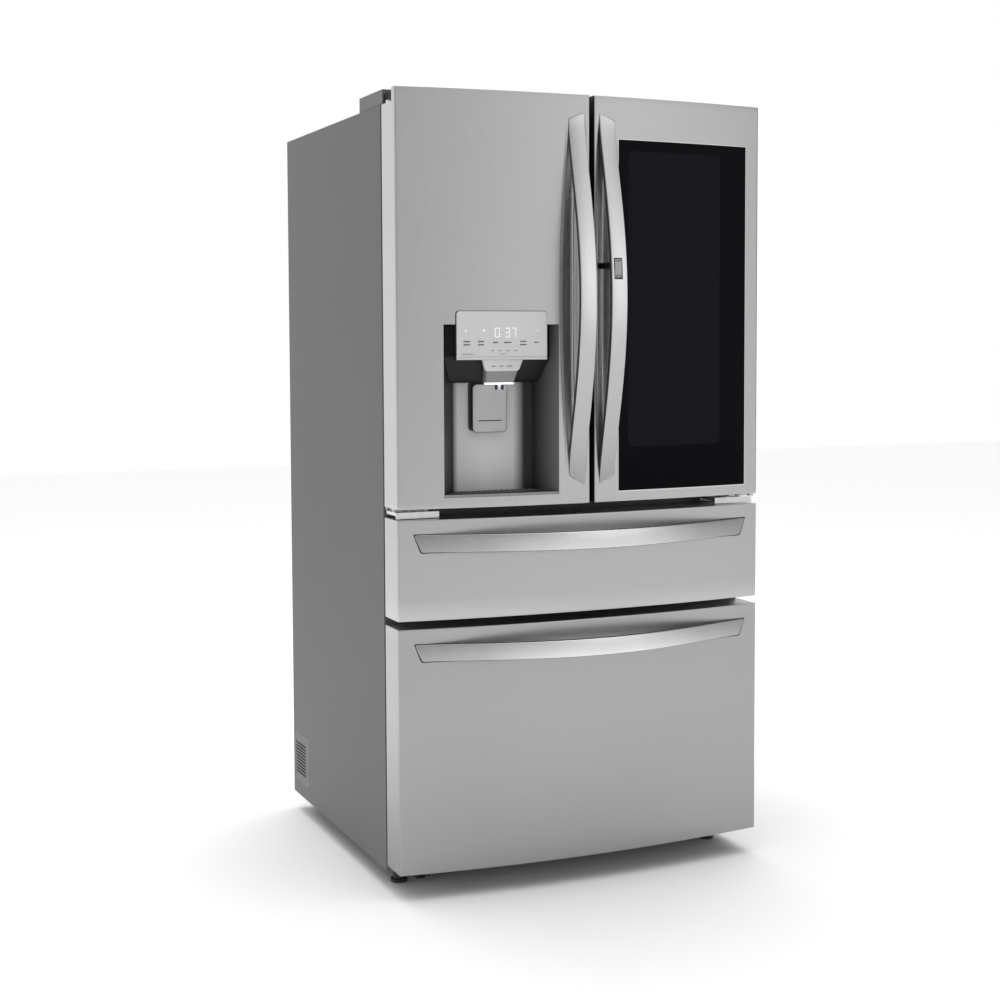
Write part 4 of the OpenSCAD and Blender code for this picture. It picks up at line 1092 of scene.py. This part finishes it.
def panel():
    panel_shape("panel_seat", 1.2 * MM, PANEL_PROUD - 2 * MM, DARK_PLASTIC)
    panel_shape("control_face", 0, PANEL_PROUD, SILVER_PANEL, slot="panel_silver",
                stands_for=["control_panel"])
    middle, base = (PANEL_LO.x + PANEL_HI.x) / 2, PANEL_LO.z
    for k, (figure, offset) in enumerate((("0", -20), ("3", 3), ("7", 18))):
        digit(f"digit_{k}", figure, middle + offset * MM, base + 49 * MM, 11 * MM, 21 * MM)
    for k, (offset, size) in enumerate(((-87, 3.6), (-46, 4), (79, 2.8))):
        x, z, half = middle + offset * MM, base + 64 * MM, size / 2 * MM
        on_panel(f"icon_{k}", x - half, x + half, z - half, z + half, DIGIT_LIGHT, 0.96 * half)
    # Plain bars stand where the keys' captions are.
    captions = ((-80, 23, 2), (-49, 20, 2), (-17, 15, 1), (13, 24, 1), (47, 17, 2), (77, 11, 1))
    for k, (offset, width, lines) in enumerate(captions):
        for line in range(lines):
            x, half = middle + offset * MM, width / 2 * MM
            z = base + (39 - 7 * line if lines == 2 else 37) * MM
            on_panel(f"caption_{k}_{line}", x - half, x + half, z, z + 2.2 * MM, MARK_GREY)
    for k in range(4):
        x = middle + (-29 + 18 * k) * MM
        on_panel(f"tick_{k}", x, x + 6 * MM, base + 19.5 * MM, base + 20.9 * MM, MARK_GREY)
    for k, (offset, width) in enumerate(((-95, 45), (-8, 16))):
        x = middle + offset * MM
        on_panel(f"rule_{k}", x, x + width * MM, base + 12.2 * MM, base + 13.0 * MM, MARK_GREY, 0.2 * MM)


def paddle():
    """The pusher: a rounded tray-like plate with a raised rim and a groove, before a dark plate that is
    painted shade in the opening behind it.
    """
    middle = (PADDLE_LO.x + PADDLE_HI.x) / 2
    x0, x1 = middle - 51 * MM, middle + 30 * MM
    z0, z1, front = PADDLE_LO.z + 1 * MM, PADDLE_HI.z + 1 * MM, PADDLE_LO.y + 0.2 * MM
    rings = []
    for inset, depth in ((0, 3.4), (0, 1), (0.5, 0.2), (1.4, 0), (3.6, 0), (4.6, 0.5), (5.4, 1.2)):
        ring = inset_outline(x0, x1, z0, z1, inset * MM, (9.5 - inset) * MM, 6)
        rings.append([(x, front + depth * MM, z) for x, z in ring])
    piece("paddle_plate", loft("paddle_plate", rings), "paddle", PADDLE_GREY, "paddle_grey", ["paddle"], 40.0)
    plate("paddle_back", x0 - 0.8 * MM, x1 + 1.2 * MM, z0 - 1 * MM, z1, 10 * MM, front + 1.4 * MM, 2 * MM,
          "paddle", DARK_PLASTIC, edge=0.5 * MM)
    groove_z = z0 + 24 * MM
    plate("paddle_groove", x0 + 13 * MM, x1 - 11 * MM, groove_z, groove_z + 2.4 * MM, 1 * MM,
          front + 0.9 * MM, 1.2 * MM, "paddle", DARK_PLASTIC, edge=0.3 * MM)
    # A dark plate on the niche's back wall: painted shade in the opening behind the paddle.
    plate("paddle_opening_shade", x0 - 6 * MM, x1 - 6 * MM, z0 + 2 * MM, HEAD_LOW + 4 * MM, 11 * MM,
          NICHE_BACK - 0.3 * MM, 0.8 * MM, "left_door", DARK_PLASTIC, edge=0.2 * MM)


dispenser()


# ---- Covers of the top hinges, and a black plate behind the side vent as painted shade ----

COVER_LO, COVER_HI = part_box("hinge_covers")
COVER_IN = 366 * MM
VENT_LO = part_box("rear_cover")[0]


def hinge_cover(side, stands_for=()):
    """A grey cover over the hinge with a lower nose towards the door, painted black as shade on its front
    face.
    """
    name = "left" if side < 0 else "right"
    x0, x1 = sorted((side * COVER_IN, side * COVER_HI.x))
    front, base = CASE_Y + 3 * MM, SHELL_HI.z
    bar(f"{name}_hinge_cover", (x0, front, base + 1.4 * MM), (x1, COVER_HI.y + 20 * MM, COVER_HI.z),
        "cabinet", GREY_PLASTIC, 1.5 * MM, slot="cover_grey", stands_for=stands_for)
    bar(f"{name}_cover_base", (x0 + 1 * MM, front + 1 * MM, base),
        (x1 - 1 * MM, COVER_HI.y + 19 * MM, base + 2 * MM), "cabinet", DARK_PLASTIC, 0.4 * MM)
    # The nose is black: painted shade on the cover's front face.
    bar(f"{name}_hinge_nose_shade", (x0 + 4 * MM, COVER_LO.y, base),
        (x1 - 6 * MM, front + 2 * MM, COVER_HI.z - 9 * MM), "cabinet", BLACK_SEAL, 3 * MM)


hinge_cover(-1, ["hinge_covers"])
hinge_cover(1)
# A black plate behind the vent's slots: painted shade in the space behind them.
bar("vent_shade_back", (VENT_LO.x + 3.5 * MM, VENT_LO.y + 12 * MM, VENT_LO.z + 36 * MM),
    (VENT_LO.x + 4.5 * MM, VENT_LO.y + 116 * MM, VENT_LO.z + 152 * MM), "cabinet", BLACK_SEAL, 0.2 * MM)


# ---- CAD nodes that keep their shape ----

# Each finish: a material, the width of the rounded edges in mm, and the nodes that have it.
FINISHES = [
    (ALUMINIUM, 0, "evaporator"),
    (ALUMINIUM, 0.4, "ice_auger"),
    (BLACK_STEEL, 0, "condenser"),
    (BLACK_STEEL, 0.5, "wheel_brackets"),
    (BLACK_STEEL, 1, "compressor"),
    (CASE_PAINT, 1.5, "outer_shell"),
    (CHROME, 0.5, "door_hinges case_hinges"),
    (CLEAR, 1.2, "crisper_left crisper_right left_bins ice_bin right_bins freezer_tray"),
    (DARK_PLASTIC, 0, "condenser_fan evaporator_fan"),
    (DARK_PLASTIC, 0.8, "roller_left roller_right rear_rollers"),
    (DARK_PLASTIC, 1, "leg_left leg_right"),
    (FOAM, 0, "cabinet_foam"),
    (GALVANISED, 0, "back_panel"),
    (GLASS, 0.6, "shelf_glass"),
    (GREY_PLASTIC, 0.6, "rear_cover"),
    (GREY_PLASTIC, 1, "mullion_flap"),
    (IVORY, 0.6, "water_valve"),
    (LINER, 1, "ice_maker"),
    (LINER, 1.2, "mid_bin freezer_basket"),
    (LINER, 1.5, "air_ducts"),
    (LINER, 2, "fridge_liner drawer_liners left_liner door_case"),
    (RUBBER, 2, "left_gasket right_gaskets mid_gasket freezer_gasket"),
    (TRIM, 1.2, "shelf_frames"),
    (ZINC, 0.3, "screws"),
    (ZINC, 0.4, "base_plate"),
    (ZINC, 0.5, "fixed_rails mid_rails freezer_rails"),
]


def finish_node(name, material, edge):
    """A CAD node with its own material and, where edge is not 0, softly rounded edges."""
    obj = NODES[name]
    obj.data.materials.clear()
    obj.data.materials.append(material)
    if edge:
        add_modifier(obj, "WELD", "weld", merge_threshold=1e-6)
        bevelled(obj, edge * MM, 2, 40.0)
        add_modifier(obj, "WEIGHTED_NORMAL", "normals", keep_sharp=True)


for node_material, node_edge, node_names in FINISHES:
    for node_name in node_names.split():
        finish_node(node_name, node_material, node_edge)


# ---- Stage ----

# The floor is white around POOL_CENTRE and behind the object, and fades out over POOL_REACH and over BEHIND;
# the white pool around the object is painted light.
FLOOR_HALF = 12
POOL_CENTRE = (0, 0.8, 0)
POOL_REACH = (2.3, 3.2)
BEHIND = (-0.5, 0.6)
POOL_WHITE, FAR_WHITE = 0.97, 0.70

# How bright the studio is in each direction, by its turn from straight ahead of the doors (degrees, right
# is positive): a broad soft wall in front, a dark opening on the right, white behind.
STUDIO = [(-180, 1.0), (-120, 0.95), (-70, 0.60), (-25, 0.36), (5, 0.55), (27, 1.04), (48, 0.86), (66, 0.36),
          (80, 0.04), (112, 0.04), (132, 1.0), (180, 1.0)]
OVERHEAD = 1.7
CEILING_RISE = (0.62, 0.9)
RING_FALL = (0.2, 0.55)
RING_HIGH = 0.62

# The camera: where it stands, how it is turned (radians) and its lens.
EYE = (-1.6561, -3.7149, 1.2368)
YAW, PITCH, ROLL = 0.407, 0.061, -0.004
LENS, LENS_SHIFT = 59.35, -0.06


def make_floor():
    """A floor that is white around and behind the object and pale grey further out, the white around it a
    painted pool of light.
    """
    mesh = box_mesh("floor", (-FLOOR_HALF, -FLOOR_HALF, -0.02), (FLOOR_HALF, FLOOR_HALF, 0))
    floor = bpy.data.objects.new("floor", mesh)
    SCENE.collection.objects.link(floor)
    n = Nodes("floor_white")
    away = n.add("ShaderNodeVectorMath", operation="DISTANCE")
    n.link(n.place(), away.inputs[0])
    away.inputs[1].default_value = POOL_CENTRE
    # A brighter pool of white around the object: painted light.
    white = n.calc("MAXIMUM", n.spread(away.outputs["Value"], 1, 0, *POOL_REACH), n.along("Y", *BEHIND))
    n.colour(n.tint(white, grey(FAR_WHITE), grey(POOL_WHITE)))
    n.set(Roughness=0.9)
    mesh.materials.append(n.owner)


def make_world():
    """The studio's ring of light, dimmer above eye level, and a bright ceiling."""
    n = Nodes("studio", bpy.data.worlds, "Background")
    x, y, z = n.axes(n.coordinates("Generated"))
    turn = n.calc("ARCTAN2", x, n.calc("MULTIPLY", y, -1.0))
    around = n.ramp(n.spread(turn, 0, 1, -math.pi, math.pi),
                    [((degrees + 180) / 360, bright) for degrees, bright in STUDIO])
    ring = n.add("ShaderNodeVectorMath", operation="SCALE")
    n.link(around, ring.inputs["Vector"])
    n.link(n.spread(z, 1, RING_HIGH, *RING_FALL, "SMOOTHSTEP"), ring.inputs["Scale"])
    ceiling = n.spread(z, 0, 1, *CEILING_RISE, "SMOOTHSTEP")
    n.link(n.mix(ceiling, ring.outputs["Vector"], (*grey(OVERHEAD), 1)), n.shader.inputs["Color"])
    SCENE.world = n.owner


def make_light(name, position, target, size, power):
    light = bpy.data.lights.new(name, "AREA")
    light.shape = "RECTANGLE"
    light.size, light.size_y = size
    light.energy = power
    obj = bpy.data.objects.new(name, light)
    SCENE.collection.objects.link(obj)
    obj.location = position
    obj.rotation_euler = (Vector(target) - Vector(position)).to_track_quat("-Z", "Y").to_euler()


def make_camera():
    camera = bpy.data.cameras.new("camera")
    camera.lens = LENS
    camera.sensor_width = 36
    camera.shift_y = LENS_SHIFT
    obj = bpy.data.objects.new("camera", camera)
    SCENE.collection.objects.link(obj)
    forward = Vector((math.sin(YAW) * math.cos(PITCH), math.cos(YAW) * math.cos(PITCH), -math.sin(PITCH)))
    obj.rotation_euler = forward.to_track_quat("-Z", "Y").to_euler()
    obj.rotation_euler.rotate_axis("Z", ROLL)
    obj.location = EYE
    SCENE.camera = obj


SCENE.view_settings.view_transform = "Standard"
make_floor()
make_world()
make_light("overhead_soft", (0.3, 0.9, 4.2), (0.2, 0.5, 0), (4.5, 4.0), 85)
make_camera()
